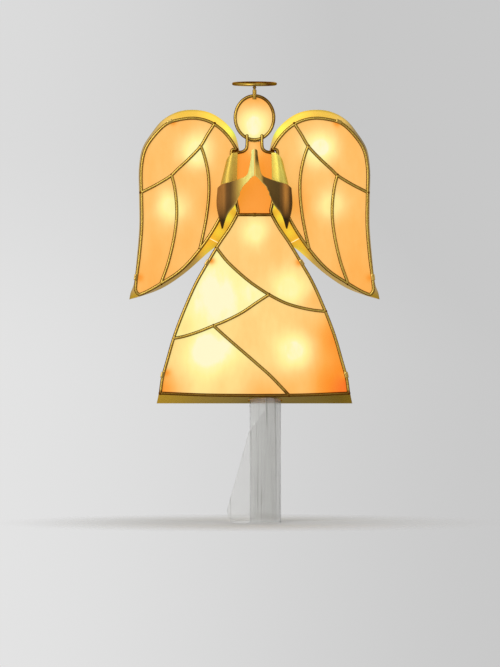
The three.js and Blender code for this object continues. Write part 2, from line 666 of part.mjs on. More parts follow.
const bodyTray = cutBy(
  joined([pan(bodyFront, bodyBack, bodyTrayFront, backFace, headKeepOut), ...dressTabs]),
  [mouth, grommetHole, leadHoles, ...socketHoles,
    ...rivetPlaces.flatMap((place) => [rivetHole(place, 1), rivetHole(place, -1)])],
);

const wingTrayFront = wingSetback + paneFront;
const wingTabs = wingTabShares.map((share) => tab(wingLine, share, wingSetback));
const wingPan = joined([pan(wingFront, wingBack, wingTrayFront, backFace, bodyKeepOut), ...wingTabs]);

function wingTray(side) {
  const tray = side > 0 ? wingPan : wingPan.mirror([1, 0, 0]);
  return cutBy(tray, [leadHoles, ...socketHoles, ...rivetPlaces.map((place) => rivetHole(place, side))]);
}

const headTray = cutBy(pan(headFront, headBack, headTrayFront, headBackFace), [leadHoles, ...socketHoles]);

// Frames

const waistBand = tube(
  [-1, 1].map((end) => new THREE.Vector3((end * waistBandShare * wireRadius) / 2, 0, waist[0].y)),
  wireRadius + gap, { sides: 2 * roundSides },
);
const bodyJoints = [torsoLine, dressLine, hemLine].map((line) => line[0]);
const bodyFrame = joined([
  frameWire(bodyLine, 0), frameWire(waist, 0), waistBand, ...dressDividers.map((line) => frameWire(line, 0)),
  ...[...bodyJoints, ...bodyJoints.map(mirrored), ...dressDividers.slice(1).map((line) => line[0])]
    .map((joint) => bead(joint, 0)),
]);
const wingFrame = joined([
  frameWire(wingLine, wingSetback, { closed: true }),
  ...wingDividers.map((line) => frameWire(line, wingSetback)),
  ...[wingPoint(wingShares[0][0]), wingPoint(wingShares[0].at(-1)),
    ...wingDividers.slice(1).map((line) => line[0])].map((corner) => bead(corner, wingSetback)),
]);
const headRing = frameWire(headLine, headPlane, { closed: true });

// Panes

const paneInset = sheet + gap;
const bodyPlate = plate(offset(bodyFront, -paneInset), paneFront, paneThickness)
  .subtract(headKeepOut(sheet + 2 * gap));
const [torsoPane, ...dressPanes] = cutPanes(
  bodyPlate, [waist, ...dressDividers], paneFront, bodyPaneShares.map(bodyPoint),
);
const wingPlate = plate(offset(wingFront, -paneInset), wingTrayFront, paneThickness);
const wingPanes = cutPanes(wingPlate, wingDividers, wingTrayFront, wingPaneShares.map(wingPoint));
const headPane = plate(offset(headFront, -paneInset), headTrayFront, paneThickness);

// Arms

const armBase = waist[0].y - sleevePointDrop;
const armHeight = shoulderHeight + handRise - armBase;
const armReach = torsoHalfWidth + armStandOut;
const armBackDepth = wingSetback - wireRadius - gap; // to the front of the wings' wires
const armPoint = ([across, ahead, up]) => new THREE.Vector3(
  -across * armReach, -ahead * (ahead > 0 ? armDepth : armBackDepth), armBase + up * armHeight,
);
const upperArmLift = new THREE.Vector3(0, -(wireRadius + gap + armSheet), 0);
const forearm = rolledSheet(forearmShares.map((rib) => rib.map(armPoint)), forearmSteps);
const upperArm = rolledSheet(
  upperArmShares.map((rib) => rib.map((share) => armPoint(share).add(upperArmLift))).reverse(), upperArmSteps,
);

// Halo: one wire bent to a ring, its end turned down as a pin into the tube on the head ring

const haloTubeY = headPlane - wireRadius - gap - haloTubeRadius;
const haloTubeFoot = headRise + headHalfHeight - haloTubeSeat;
const haloTubeTop = haloTubeFoot + haloTubeLength;
const haloFoot = haloTubeTop + haloRise;
const haloLine = Array.from({ length: ringSides }, (_, i) => {
  const turn = (2 * Math.PI * i) / ringSides;
  const back = haloRadius * (1 - Math.cos(turn));
  return new THREE.Vector3(
    haloRadius * Math.sin(turn), haloTubeY + back * Math.cos(haloTilt), haloFoot + back * Math.sin(haloTilt),
  );
});
const haloPin = [
  new THREE.Vector3(0, haloTubeY, haloFoot),
  new THREE.Vector3(0, haloTubeY, haloTubeTop - haloPinEngagement),
];
const halo = joined([
  tube(haloLine.reverse(), haloWireRadius, { closed: true }),
  tube(haloPin, haloPinRadius, { sides: roundSides }),
]);
const haloTubeBore = haloPinRadius + gap;
const haloTube = turnedUp([
  [haloTubeBore, 0], [haloTubeRadius, 0], [haloTubeRadius, haloTubeLength], [haloTubeBore, haloTubeLength],
  [haloTubeBore, 0],
], new THREE.Vector3(0, haloTubeY, haloTubeFoot), roundSides);

// Sleeve: one clear sheet rolled round, its outer layer ending in a flap with a slanted edge
const sleeveLength = hemHeight + sleeveEngagement;
const seamTop = trayFoot - seamDrop; // where the outer layer's edge reaches the front
const flapTop = seamTop - flapRun; // where it meets the tube's side

function sleeveSection() {
  const outer = [];
  const inner = [];
  const steps = Math.round(ringSides * sleeveTurns);
  for (let i = 0; i <= steps; i++) {
    const turns = (sleeveTurns * i) / steps;
    const angle = -Math.PI / 2 + 2 * Math.PI * turns;
    const radius = sleeveRadius - (sleeveSheet + sleeveLap) * turns;
    const way = new THREE.Vector2(Math.cos(angle), Math.sin(angle));
    outer.push(way.clone().multiplyScalar(radius));
    inner.push(way.clone().multiplyScalar(radius - sleeveSheet));
  }
  const flap = [sleeveSheet, 0].map((inset) => new THREE.Vector2(-flapWidth, inset - sleeveRadius));
  return [...flap, ...outer, ...inner.reverse()];
}

function sleeveSolid() {
  const section = new THREE.Shape(sleeveSection());
  const roll = new THREE.ExtrudeGeometry(section, { depth: sleeveLength, bevelEnabled: false });
  const whole = solidOf(roll.translate(sleeveAxis.x, sleeveAxis.y, 0));
  // What the slanted cut takes off the flap: all above the slanted edge, and the lower corner's square
  const left = sleeveAxis.x - flapWidth;
  const cut = new THREE.Shape();
  cut.moveTo(left - overrun, 0);
  cut.lineTo(left + flapCorner, 0);
  cut.quadraticCurveTo(left, 0, left, flapFoot);
  cut.lineTo(sleeveAxis.x - sleeveRadius, flapTop);
  cut.lineTo(sleeveAxis.x, seamTop);
  cut.lineTo(sleeveAxis.x, sleeveLength + overrun);
  cut.lineTo(left - overrun, sleeveLength + overrun);
  const points = cut.getPoints(cornerSteps);
  const frontLayer = sleeveAxis.y - sleeveRadius;
  const cutter = plate(points, frontLayer - overrun, overrun + sleeveSheet + sleeveLap / 3);
  return whole.subtract(cutter);
}

const treeSleeve = sleeveSolid();

// Rings inside the tray that the sleeve slides through; the upper one stops its end
function sleeveRing(rise, lip) {
  const inner = sleeveRadius + gap;
  const outside = ringOutside;
  const top = ringHeight + (lip ? ringThickness : 0);
  const rim = lip ? [[inner - lip, top], [inner - lip, ringHeight], [inner, ringHeight]] : [[inner, top]];
  const profile = [[inner, 0], [outside, 0], [outside, top], ...rim, [inner, 0]];
  const ring = turnedUp(profile, uprightAt(rise), ringSides);
  const footBack = backFace - sheet - gap;
  const footFront = sleeveAxis.y + inner + ringThickness / 3;
  const foot = new THREE.BoxGeometry(ringFootWidth, footBack - footFront, ringHeight)
    .translate(sleeveAxis.x, (footBack + footFront) / 2, rise + ringHeight / 2);
  return ring.add(solidOf(foot));
}

const lowerRing = sleeveRing(lowerRingFoot, 0);
const upperRing = sleeveRing(sleeveLength + gap - ringHeight, stopLip);

// Grommet for the supply lead
const grommet = turned([
  [grommetBore, -gap - grommetThickness], [grommetRadius, -gap - grommetThickness], [grommetRadius, -gap],
  [grommetNeck, -gap], [grommetNeck, sheet + gap], [grommetRadius, sheet + gap],
  [grommetRadius, sheet + gap + grommetThickness], [grommetBore, sheet + gap + grommetThickness],
  [grommetBore, -gap - grommetThickness],
], grommetPlace, roundSides);

// The assembly

const topper = new THREE.Group();

function put(name, solid, material) {
  const mesh = new THREE.Mesh(geometryOf(solid), material);
  mesh.name = name;
  topper.add(mesh);
}

const numbered = (name, i) => name + "_" + String(i + 1).padStart(2, "0");
const bothSides = (name, solid, material) => {
  put(name + "_left", solid, material);
  put(name + "_right", solid.mirror([1, 0, 0]), material);
};

put("body_tray", bodyTray, gold);
put("wing_tray_left", wingTray(1), gold);
put("wing_tray_right", wingTray(-1), gold);
put("head_tray", headTray, gold);
put("body_frame", bodyFrame, goldWire);
bothSides("wing_frame", wingFrame, goldWire);
put("head_ring", headRing, goldWire);
put("torso_pane", torsoPane, paneFilm);
dressPanes.forEach((pane, i) => put(numbered("dress_pane", i), pane, paneFilm));
wingPanes.forEach((pane, i) => bothSides(numbered("wing_pane", i), pane, paneFilm));
put("head_pane", headPane, paneFilm);
bothSides("upper_arm", upperArm, gold);
bothSides("forearm", forearm, gold);
put("halo", halo, goldWire);
put("halo_tube", haloTube, goldWire);
lampPlaces.forEach((lamp, i) => {
  put(numbered("lamp_socket", i), socket(lamp), socketPlastic);
  put(numbered("lamp_bulb", i), bulb(lamp), bulbGlass);
});
put("lamp_leads", leads, leadJacket);
rivetPlaces.forEach((place, i) => {
  put(numbered("rivet_left", i), rivet(place, 1), goldWire);
  put(numbered("rivet_right", i), rivet(place, -1), goldWire);
});
put("tree_sleeve", treeSleeve, clearPlastic);
put("sleeve_ring_lower", lowerRing, goldWire);
put("sleeve_ring_upper", upperRing, goldWire);
put("lead_grommet", grommet, rubber);

// Centre the whole over the origin
const box = new THREE.Box3().setFromObject(topper);
const middle = box.getCenter(new THREE.Vector3());
topper.position.set(-middle.x, -middle.y, -box.min.z);

export default topper;
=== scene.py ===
# Lighted angel tree topper: round wires, folded gold sheet, lit panes and a clear sleeve.
# Metres, +Z up, the front faces -Y. Places come from the frame, sizes from the dictionaries.
import bmesh
import bpy
import numpy as np
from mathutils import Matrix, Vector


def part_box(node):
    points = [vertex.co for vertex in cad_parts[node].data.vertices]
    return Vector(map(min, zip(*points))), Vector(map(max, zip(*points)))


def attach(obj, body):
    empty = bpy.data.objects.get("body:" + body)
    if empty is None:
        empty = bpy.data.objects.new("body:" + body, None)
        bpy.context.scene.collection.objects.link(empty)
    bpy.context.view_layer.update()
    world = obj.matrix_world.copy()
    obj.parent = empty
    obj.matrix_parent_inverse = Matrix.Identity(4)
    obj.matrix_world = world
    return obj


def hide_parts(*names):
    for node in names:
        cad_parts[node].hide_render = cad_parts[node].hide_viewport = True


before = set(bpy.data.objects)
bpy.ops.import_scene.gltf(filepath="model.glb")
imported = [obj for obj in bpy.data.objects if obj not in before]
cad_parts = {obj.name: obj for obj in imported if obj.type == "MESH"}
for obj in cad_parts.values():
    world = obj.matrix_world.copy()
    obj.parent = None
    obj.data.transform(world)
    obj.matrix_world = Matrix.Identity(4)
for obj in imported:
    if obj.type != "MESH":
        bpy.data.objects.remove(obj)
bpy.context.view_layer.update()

mm = 0.001
frontward = (0, -1, 0)
bothSides = ("left", "right")

stock = {
    "wire": 1.5 * mm,  # radius of the frames' wire
    "sheet": 0.5 * mm,
    "armSheet": 0.8 * mm,
    "gap": 0.3 * mm,  # between pieces that touch
    "besideGap": 0.06 * mm,  # between the wings' walls and the body's
    "fold": 1.3 * mm,  # outer radius where a tray's wall turns into its back
    "rim": 0.12 * mm,  # rounding of the edges of straps and sleeve
    "sleeve": 15.3 * mm,  # outer radius of the rolled sleeve
    "sharpAngle": 40,  # degrees
    "perSpan": 8,  # samples between two outline points
    "wireSides": 16,
    "turnedSides": 28,
    "fineSides": 48,  # of large turned pieces
}

# Levels along Y: each frame's wire lies a wire's radius and a gap before its panes
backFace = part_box("wing_tray_left")[1].y
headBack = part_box("head_tray")[1].y
paneStep = stock["wire"] + stock["gap"]
bodyPlane, wingPlane, headPlane = (
    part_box(name)[0].y - paneStep for name in ("torso_pane", "wing_pane_01_left", "head_pane"))


def boxOf(name):
    # Middle and size of a node's box.
    low, high = (np.array(corner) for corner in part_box(name))
    return (low + high) / 2, high - low


def flatPlace(name):
    # Where a node's middle is across and up.
    (x, _, z), _ = boxOf(name)
    return x, z


# Lines and outlines

def joined(*lines):
    return np.concatenate(lines)


def pointsOf(*coordinates):
    # Points from their coordinates, each a number or an array.
    return np.stack(np.broadcast_arrays(*coordinates), -1)


def unit(vectors):
    return vectors / np.linalg.norm(vectors, axis=-1, keepdims=True)


def turnSteps(count):
    # A whole turn in equal steps.
    return 2 * np.pi * np.arange(count) / count


def smoothLine(points, perSpan=stock["perSpan"]):
    # Centripetal Catmull-Rom: every span is the cubic through its two points, with slopes from the
    # neighbours and knots spaced by the root of the distance; a mirrored point stands in past each end.
    p = np.asarray(points, float)
    p = joined(2 * p[:1] - p[1:2], p, 2 * p[-1:] - p[-2:-1])
    knot = np.linalg.norm(np.diff(p, axis=0), axis=-1, keepdims=True) ** 0.5
    a, b, c, d = p[:-3], p[1:-2], p[2:-1], p[3:]
    ka, kb, kc = knot[:-2], knot[1:-1], knot[2:]
    leave = ((b - a) / ka - (c - a) / (ka + kb) + (c - b) / kb) * kb
    reach = ((c - b) / kb - (d - b) / (kb + kc) + (d - c) / kc) * kb
    t = (np.arange(perSpan) / perSpan).reshape((1, perSpan) + (1,) * (p.ndim - 1))
    b, c, leave, reach = (v[:, None] for v in (b, c, leave, reach))
    curve = b + leave * t + (3 * (c - b) - 2 * leave - reach) * t**2
    curve = curve + (2 * (b - c) + leave + reach) * t**3
    return joined(curve.reshape((-1,) + p.shape[1:]), p[-2:-1])


def straightLine(start, end, steps):
    return np.linspace(start, end, steps + 1)


def mirrored(line):
    return np.asarray(line) * (-1, 1)


def offset(outline, distance):
    # Every point moves out along the mean of its two edges' normals, longer at corners by 1 / cosine.
    edge = np.roll(outline, -1, 0) - outline
    normal = unit(pointsOf(edge[:, 1], -edge[:, 0]))
    middle = unit(normal + np.roll(normal, 1, 0))
    cosine = np.maximum((middle * normal).sum(1, keepdims=True), 0.5)
    return outline + middle * distance / cosine


def inSpace(line, y):
    # Flat points (x, z) at one level of Y.
    return pointsOf(line[..., 0], y, line[..., 1])


def eased(points, reach, steps=5, closed=False):
    # Each corner becomes a quadratic curve that leaves its edges at the reach, or at half a short edge.
    # A closed line comes back to its first point.
    p = np.asarray(points, float)
    before, corner, after = (np.roll(p, 1, 0), p, np.roll(p, -1, 0)) if closed else (p[:-2], p[1:-1], p[2:])

    def towards(other):
        way = other - corner
        length = np.linalg.norm(way, axis=1, keepdims=True)
        return corner + way * np.minimum(reach / np.maximum(length, 1e-9), 0.5)

    start, end = towards(before), towards(after)
    t = np.linspace(0, 1, steps)[None, :, None]
    curve = start[:, None] * (1 - t) ** 2 + 2 * corner[:, None] * t * (1 - t) + end[:, None] * t**2
    curve = curve.reshape(-1, p.shape[1])
    return joined(curve, curve[:1]) if closed else joined(p[:1], curve, p[-1:])


# Surfaces: every one gives its points, its faces and a value per point that says how far it faces ahead

def gridSurface(points, wrapRows=False, wrapColumns=False, ridge=0.85):
    # Quads between neighbours of a grid; a wrapped side joins its last line to its first.
    rows, columns = points.shape[:2]
    r, c = np.indices((rows - (not wrapRows), columns - (not wrapColumns)))
    r2, c2 = (r + 1) % rows, (c + 1) % columns
    quads = pointsOf(r * columns + c, r * columns + c2, r2 * columns + c2, r2 * columns + c)
    ridge = np.broadcast_to(ridge, (rows, columns)).ravel()
    return points.reshape(-1, 3), quads.reshape(-1, 4).tolist(), ridge


def tube(path, radius, sides=stock["wireSides"], closed=False, facing=frontward, domeSteps=4):
    # A round section carried along the path: point = path + radius * (cos a * side + sin a * ahead).
    # Ahead is the facing direction square to the path. An open end shrinks to a pole as half a ball.
    path = np.asarray(path, float)
    tangent = unit(np.roll(path, -1, 0) - np.roll(path, 1, 0) if closed else np.gradient(path, axis=0))
    radius = np.broadcast_to(radius, len(path))
    if not closed:
        turn = np.linspace(0, np.pi / 2, domeSteps + 1)[1:, None]
        head = path[0] - tangent[0] * radius[0] * np.sin(turn[::-1])
        tail = path[-1] + tangent[-1] * radius[-1] * np.sin(turn)
        path = joined(head, path, tail)
        tangent = np.pad(tangent, ((domeSteps, domeSteps), (0, 0)), "edge")
        shrink = np.cos(turn[:, 0])
        radius = joined(radius[0] * shrink[::-1], radius, radius[-1] * shrink)
    side = unit(np.cross(tangent, facing))[:, None]
    ahead = np.cross(side, tangent[:, None])
    angle = turnSteps(sides)[:, None]
    points = path[:, None] + radius[:, None, None] * (np.cos(angle) * side + np.sin(angle) * ahead)
    return gridSurface(points, wrapRows=closed, wrapColumns=True, ridge=np.sin(angle).T)


def lathe(profile, centre, axis, sides=stock["turnedSides"], ridge=0.85):
    # A profile of (radius, distance along the axis) turned round it:
    # point = centre + distance * axis + radius * (cos a * u + sin a * v), u and v square to the axis.
    radius, distance = np.asarray(profile, float).T[..., None, None]
    axis = np.asarray(axis, float)
    u = np.array([0.0, 0, 1] if abs(axis[2]) < 0.5 else [1.0, 0, 0])
    v = np.cross(axis, u)
    angle = turnSteps(sides)[:, None]
    points = np.asarray(centre) + distance * axis + radius * (np.cos(angle) * u + np.sin(angle) * v)
    return gridSurface(points, wrapColumns=True, ridge=ridge)


bead = {
    "radius": 1.8 * mm,
    "flat": 0.85,  # thickness along Y, to the width
    "sides": 18,
    "ridge": -0.4,  # so far from the rubbed front's painted highlight, in patina and painted shade
}


def beads(places, y):
    # Solder blobs, balls flattened along Y: radius * sin a round Y, flat * radius * cos a along it.
    turn = np.linspace(0, np.pi, bead["sides"] // 2 + 1)
    profile = bead["radius"] * pointsOf(np.sin(turn), -bead["flat"] * np.cos(turn))
    return [lathe(profile, (x, y, z), frontward, bead["sides"], bead["ridge"]) for x, z in places]


def sided(surface, side):
    # A surface of the left side, mirrored where it is wanted on the right.
    points, faces, ridge = surface
    return points * (-1 if side == "right" else 1, 1, 1), faces, ridge


# Meshes and objects

def newObject(name, data):
    made = bpy.data.objects.new(name, data)
    bpy.context.scene.collection.objects.link(made)
    return made


def smooth(mesh):
    mesh.shade_smooth()
    mesh.set_sharp_from_angle(angle=np.radians(stock["sharpAngle"]))


def pieceOf(name, surfaces, replaced=None, body="angel", quads=False):
    # One object from the surfaces: doubles merged, faces turned outwards, sharp edges by their angle.
    points, lists, ridges = zip(*surfaces)
    starts = np.cumsum([0] + [len(own) for own in points[:-1]])
    faces = [[k + start for k in face] for own, start in zip(lists, starts) for face in own]
    mesh = bpy.data.meshes.new(name)
    mesh.from_pydata(joined(*points).tolist(), [], faces)
    ridge = mesh.attributes.new("ridge", "FLOAT", "POINT").data
    ridge.foreach_set("value", joined(*ridges).astype(np.float32))
    work = bmesh.new()
    work.from_mesh(mesh)
    bmesh.ops.remove_doubles(work, verts=work.verts, dist=1e-6)
    bmesh.ops.dissolve_degenerate(work, edges=work.edges, dist=1e-7)
    if quads:
        bmesh.ops.join_triangles(work, faces=work.faces, angle_face_threshold=0.6, angle_shape_threshold=0.8)
    bmesh.ops.recalc_face_normals(work, faces=work.faces)
    work.to_mesh(mesh)
    work.free()
    smooth(mesh)
    piece = newObject(name, mesh)
    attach(piece, body)
    if replaced:
        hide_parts(replaced)
    return piece


def turnedPiece(name, source, axis, profile, sides=stock["turnedSides"]):
    # A profile turned round the axis, from the near end of the source's box.
    middle, size = boxOf(source)
    surface = lathe(profile, middle - np.asarray(axis) * size / 2, axis, sides)
    return pieceOf(name, [surface], source)


def settle(piece):
    # The modifiers' result becomes the piece's own mesh.
    graph = bpy.context.evaluated_depsgraph_get()
    mesh = bpy.data.meshes.new_from_object(piece.evaluated_get(graph))
    old = piece.data
    piece.modifiers.clear()
    piece.data = mesh
    bpy.data.meshes.remove(old)
    smooth(mesh)


def thicken(piece, thickness, rim=0.0):
    # The surface is the outside of the sheet, and its thickness goes inwards; the rim is rounded.
    solid = piece.modifiers.new("thickness", "SOLIDIFY")
    solid.thickness = thickness
    solid.offset = -1
    if rim:
        bevel = piece.modifiers.new("rim", "BEVEL")
        bevel.width = rim
        bevel.segments = 2
        bevel.limit_method = "ANGLE"
        bevel.angle_limit = np.radians(55)
    settle(piece)


def faceValues(piece, name, width=3):
    values = np.empty(width * len(piece.data.polygons), np.float32)
    piece.data.polygons.foreach_get(name, values)
    return values.reshape(-1, width)


def turnFaces(piece, wanted):
    # All of an open sheet's faces turn round when they look away from the wanted direction on average.
    if (faceValues(piece, "normal") * faceValues(piece, "area", 1) * wanted).sum() < 0:
        piece.data.flip_normals()


def cutHoles(piece, cutters):
    # Closed surfaces taken out of the piece.
    tool = pieceOf("cutter", cutters)
    cut = piece.modifiers.new("holes", "BOOLEAN")
    cut.operation = "DIFFERENCE"
    cut.solver = "EXACT"
    cut.object = tool
    settle(piece)
    mesh = tool.data
    bpy.data.objects.remove(tool)
    bpy.data.meshes.remove(mesh)


# The angel's outlines, as shares of the sizes: [distance left of the middle, height]

body = {
    "halfWidth": 88.6 * mm,
    "height": 244 * mm,
    "hem": 120.5 * mm,
    "drop": 8.5 * mm,  # of the straight lower edge at the back, below the hem
    "spread": 2.4 * mm,
    "flareRise": 16 * mm,
    "neck": [[0.079, 1], [0.079, 0.966], [0.087, 0.95], [0.116, 0.94], [0.154, 0.936], [0.199, 0.934]],
    "torso": [[0.199, 0.934], [0.205, 0.86], [0.203, 0.783], [0.188, 0.736], [0.173, 0.711], [0.182, 0.695]],
    "dress": [
        [0.182, 0.695], [0.263, 0.643], [0.361, 0.591], [0.488, 0.515], [0.616, 0.434], [0.748, 0.326],
        [0.851, 0.227], [0.926, 0.133], [0.978, 0.064], [1, 0.007],
    ],
    "hemLine": [[1, 0.007], [0.526, 0], [0, -0.002]],
    "dividers": [
        [[0.403, 0.567], [0.303, 0.52], [0.182, 0.477], [0.048, 0.436], [-0.058, 0.409],
         [-0.154, 0.387], [-0.327, 0.355], [-0.477, 0.338], [-0.626, 0.327], [-0.754, 0.322]],
        [[-0.154, 0.387], [-0.027, 0.357], [0.136, 0.317], [0.324, 0.283], [0.435, 0.267],
         [0.585, 0.245], [0.748, 0.226], [0.857, 0.218]],
        [[0.435, 0.267], [0.286, 0.218], [-0.014, 0.124], [-0.177, 0.071], [-0.366, -0.001]],
    ],
    "tabs": [3.07, 7.81],  # places along the dress's side, in outline points
    "band": 3.3 * mm,  # length of the collar round the waist wire
    "bandEase": 0.35 * mm,
}
wing = {
    "reach": 117.7 * mm,
    "height": 178.2 * mm,
    "shoulderRise": 3.46 * mm,
    "backSpread": 1 * mm,
    "backRise": 1.6 * mm,
    "rootShare": 0.182,  # of the inner edge, which lies beside the torso
    "edge": [
        [0.143, 0.7925], [0.199, 0.851], [0.277, 0.905], [0.372, 0.942], [0.478, 0.957], [0.596, 0.95],
        [0.7, 0.928], [0.803, 0.864], [0.875, 0.79], [0.905, 0.693], [0.904, 0.55], [0.902, 0.392],
        [0.922, 0.228], [0.949, 0.086], [0.95, 0.045], [0.926, 0.026], [0.883, 0.034], [0.755, 0.081],
        [0.588, 0.155], [0.444, 0.259], [0.327, 0.371], [0.249, 0.471], [0.199, 0.577], [0.186, 0.693],
        [0.185, 0.757], [0.184, 0.779], [0.178, 0.789], [0.166, 0.7925],
    ],
    "backEdge": [
        [0.121, 0.787], [0.159, 0.873], [0.241, 0.937], [0.353, 0.984], [0.476, 1], [0.607, 0.991],
        [0.729, 0.949], [0.82, 0.879], [0.896, 0.796], [0.923, 0.693], [0.922, 0.55], [0.92, 0.392],
        [0.939, 0.228], [0.966, 0.078], [0.989, 0.036], [1, 0],
    ],
    "backReturn": [
        [1, 0], [0.915, 0.015], [0.739, 0.059], [0.564, 0.135], [0.376, 0.244], [0.244, 0.318], [0.14, 0.44],
        [0.15, 0.566], [0.173, 0.693], [0.173, 0.757], [0.172, 0.775], [0.167, 0.784], [0.158, 0.787],
    ],
    "dividers": [
        [[0.32, 0.928], [0.376, 0.87], [0.43, 0.81], [0.524, 0.743], [0.62, 0.684], [0.663, 0.656],
         [0.779, 0.608], [0.908, 0.564]],
        [[0.43, 0.81], [0.404, 0.764], [0.372, 0.672], [0.364, 0.566], [0.382, 0.445],
         [0.412, 0.339], [0.437, 0.266]],
        [[0.663, 0.656], [0.638, 0.587], [0.622, 0.466], [0.635, 0.36], [0.686, 0.203], [0.749, 0.083]],
    ],
    "tabs": [5.75, 12.75],
}
head = {
    "halfWidth": 18.2 * mm,
    "halfHeight": 20.7 * mm,
    "neckOverlap": 3.7 * mm,
    "taper": 1 * mm,
    "steps": 96,
    "sides": 20,
}


def bodyPoints(shares):
    across, up = np.asarray(shares, float).T
    return pointsOf(-across * body["halfWidth"], body["hem"] + up * body["height"])


shoulder = bodyPoints(body["torso"])[0, 1]
trayFoot = body["hem"] - body["drop"]
torsoHalfWidth = max(across for across, up in body["torso"]) * body["halfWidth"]
wingRoot = torsoHalfWidth + stock["wire"] + paneStep
wingTip = shoulder + wing["shoulderRise"] - wing["edge"][0][1] * wing["height"]


def wingPoints(shares, spread=0.0, rise=0.0):
    # The root stays beside the torso; the rest runs out to the reach.
    across, up = np.asarray(shares, float).T
    outwards = (across - wing["rootShare"]) / (1 - wing["rootShare"])
    x = wingRoot + outwards * (wing["reach"] + spread - wingRoot)
    return pointsOf(-x, wingTip + up * (wing["height"] + rise))


bodyStretches = [smoothLine(bodyPoints(body[part])) for part in ("neck", "torso", "dress", "hemLine")]
torsoLine, dressLine, hemLine = bodyStretches[1:]
leftHalf = joined(*(line[:-1] for line in bodyStretches))
rightHalf = mirrored(leftHalf)[::-1]
neckTop = straightLine(rightHalf[-1], leftHalf[0], 24)[1:-1]
bodyFront = offset(joined(leftHalf, hemLine[-1:], rightHalf, neckTop), stock["wire"])
fade = np.clip(1 - (bodyFront[:, 1] - hemLine[0, 1]) / body["flareRise"], 0, 1)
bodyBack = pointsOf(
    bodyFront[:, 0] * (1 + body["spread"] * fade / body["halfWidth"]),
    bodyFront[:, 1] * (1 - fade) + trayFoot * fade,
)

wingEdge = smoothLine(wingPoints(wing["edge"]))
wingClosing = straightLine(wingEdge[-1], wingEdge[0], stock["perSpan"])
wingFront = offset(joined(wingEdge[:-1], wingClosing[:-1]), stock["wire"])
wingBackLines = [
    smoothLine(wingPoints(wing[part], wing["backSpread"], wing["backRise"]))
    for part in ("backEdge", "backReturn")]
wingBackLines.append(straightLine(wingBackLines[1][-1], wingBackLines[0][0], stock["perSpan"]))
wingBack = joined(*(line[:-1] for line in wingBackLines))

headRise = body["hem"] + body["height"] - head["neckOverlap"] + head["halfHeight"]
headTurn = turnSteps(head["steps"])
headLine = pointsOf(head["halfWidth"] * np.sin(headTurn), headRise - head["halfHeight"] * np.cos(headTurn))

lamps = [flatPlace(f"lamp_socket_{number:02d}") for number in range(1, 11)]
bodyLamps, headLamps, leftLamps, rightLamps = lamps[:5], lamps[5:6], lamps[6:8], lamps[8:]
print("outlines ready")


# Wire frames

def wireFrame(name, source, lines, corners, y, more=()):
    # Round wire along every line at one level, with solder on the corners.
    wires = [tube(inSpace(line, y), stock["wire"]) for line in lines]
    return pieceOf(name, [*wires, *beads(corners, y), *more], source)


def lineEnds(lines):
    return [line[end] for end in (0, -1) for line in lines]


def makeBodyFrame():
    mirroredStretches = [mirrored(line) for line in bodyStretches]
    dividers = [smoothLine(bodyPoints(line)) for line in body["dividers"]]
    waist = straightLine(torsoLine[-1], mirrored(torsoLine[-1]), 12)
    corners = [line[0] for line in bodyStretches[1:] + mirroredStretches[1:]]
    half = body["band"] / 2
    collar = eased([(0, -half), (paneStep, -half), (paneStep, half), (0, half)], body["bandEase"])
    band = lathe(collar, (0, bodyPlane, waist[0][1]), (1, 0, 0))
    lines = [*bodyStretches, *mirroredStretches, waist, *dividers]
    return wireFrame("body_wires", "body_frame", lines, corners + lineEnds(dividers), bodyPlane, [band])


def makeWingFrame(side):
    turn = mirrored if side == "right" else np.asarray
    dividers = [turn(smoothLine(wingPoints(line))) for line in wing["dividers"]]
    lines = [turn(wingEdge), turn(wingClosing), *dividers]
    corners = [lines[0][0], *lineEnds(dividers)]
    return wireFrame(f"wing_wires_{side}", f"wing_frame_{side}", lines, corners, wingPlane)


bodyFrame = makeBodyFrame()
wingFrames = [makeWingFrame(side) for side in bothSides]
ringWire = tube(inSpace(headLine, headPlane), stock["wire"], head["sides"], closed=True)
headRing = pieceOf("head_wire", [ringWire], "head_ring")
print("frames ready")


# The lamps' lead

def grownSurface(piece, distance=0.0):
    # The piece's surface moved out along its normals: point + distance * normal.
    mesh = piece.data
    points, normals = np.empty((2, 3 * len(mesh.vertices)), np.float32)
    mesh.vertices.foreach_get("co", points)
    mesh.vertices.foreach_get("normal", normals)
    faces = [list(face.vertices) for face in mesh.polygons]
    return (points + distance * normals).reshape(-1, 3), faces, np.zeros(len(mesh.vertices))


def makeLead():
    # The frame's lead, its triangles joined to quads and made round by subdivision.
    surface = grownSurface(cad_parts["lamp_leads"])
    piece = pieceOf("lead_run", [surface], "lamp_leads", quads=True)
    rounding = piece.modifiers.new("round", "SUBSURF")
    rounding.levels = rounding.render_levels = 1
    settle(piece)
    return piece


lead = makeLead()
print("lead ready")


# Trays

tab = {
    "width": 5.5 * mm,
    "foot": 4 * mm,  # how far the strap runs down the tray's wall
    "reach": 1.1 * mm,  # past the wire's middle, in front
    "bend": 0.9 * mm,
    "wall": 0.2,  # share of the sheet by which the foot stands in the wall
    "bendStart": 0.4,  # share of the foot
}


def trayShell(front, back, yFront, yBack, keepClear=None, wallSteps=18, foldSteps=6):
    # Wall: straight lines from the front outline to the back one. Fold: a quarter turn of the fold's
    # radius. Back: one flat face. A neighbour's room is kept clear by moving the points out of it.
    fold = stock["fold"]
    depth = yBack - fold - yFront
    rings = [inSpace(front + (back - front) * s, yFront + depth * s) for s in np.linspace(0, 1, wallSteps)]
    for turn in np.linspace(0, np.pi / 2, foldSteps + 1)[1:]:
        rings.append(inSpace(offset(back, -fold * (1 - np.cos(turn))), yBack - fold * (1 - np.sin(turn))))
    rings = np.stack(rings)
    if keepClear:
        keepClear(*np.moveaxis(rings, -1, 0))
    points, faces, ridge = gridSurface(rings, wrapColumns=True)
    faces.append(list(range(len(points) - len(front), len(points))))
    return points, faces, ridge


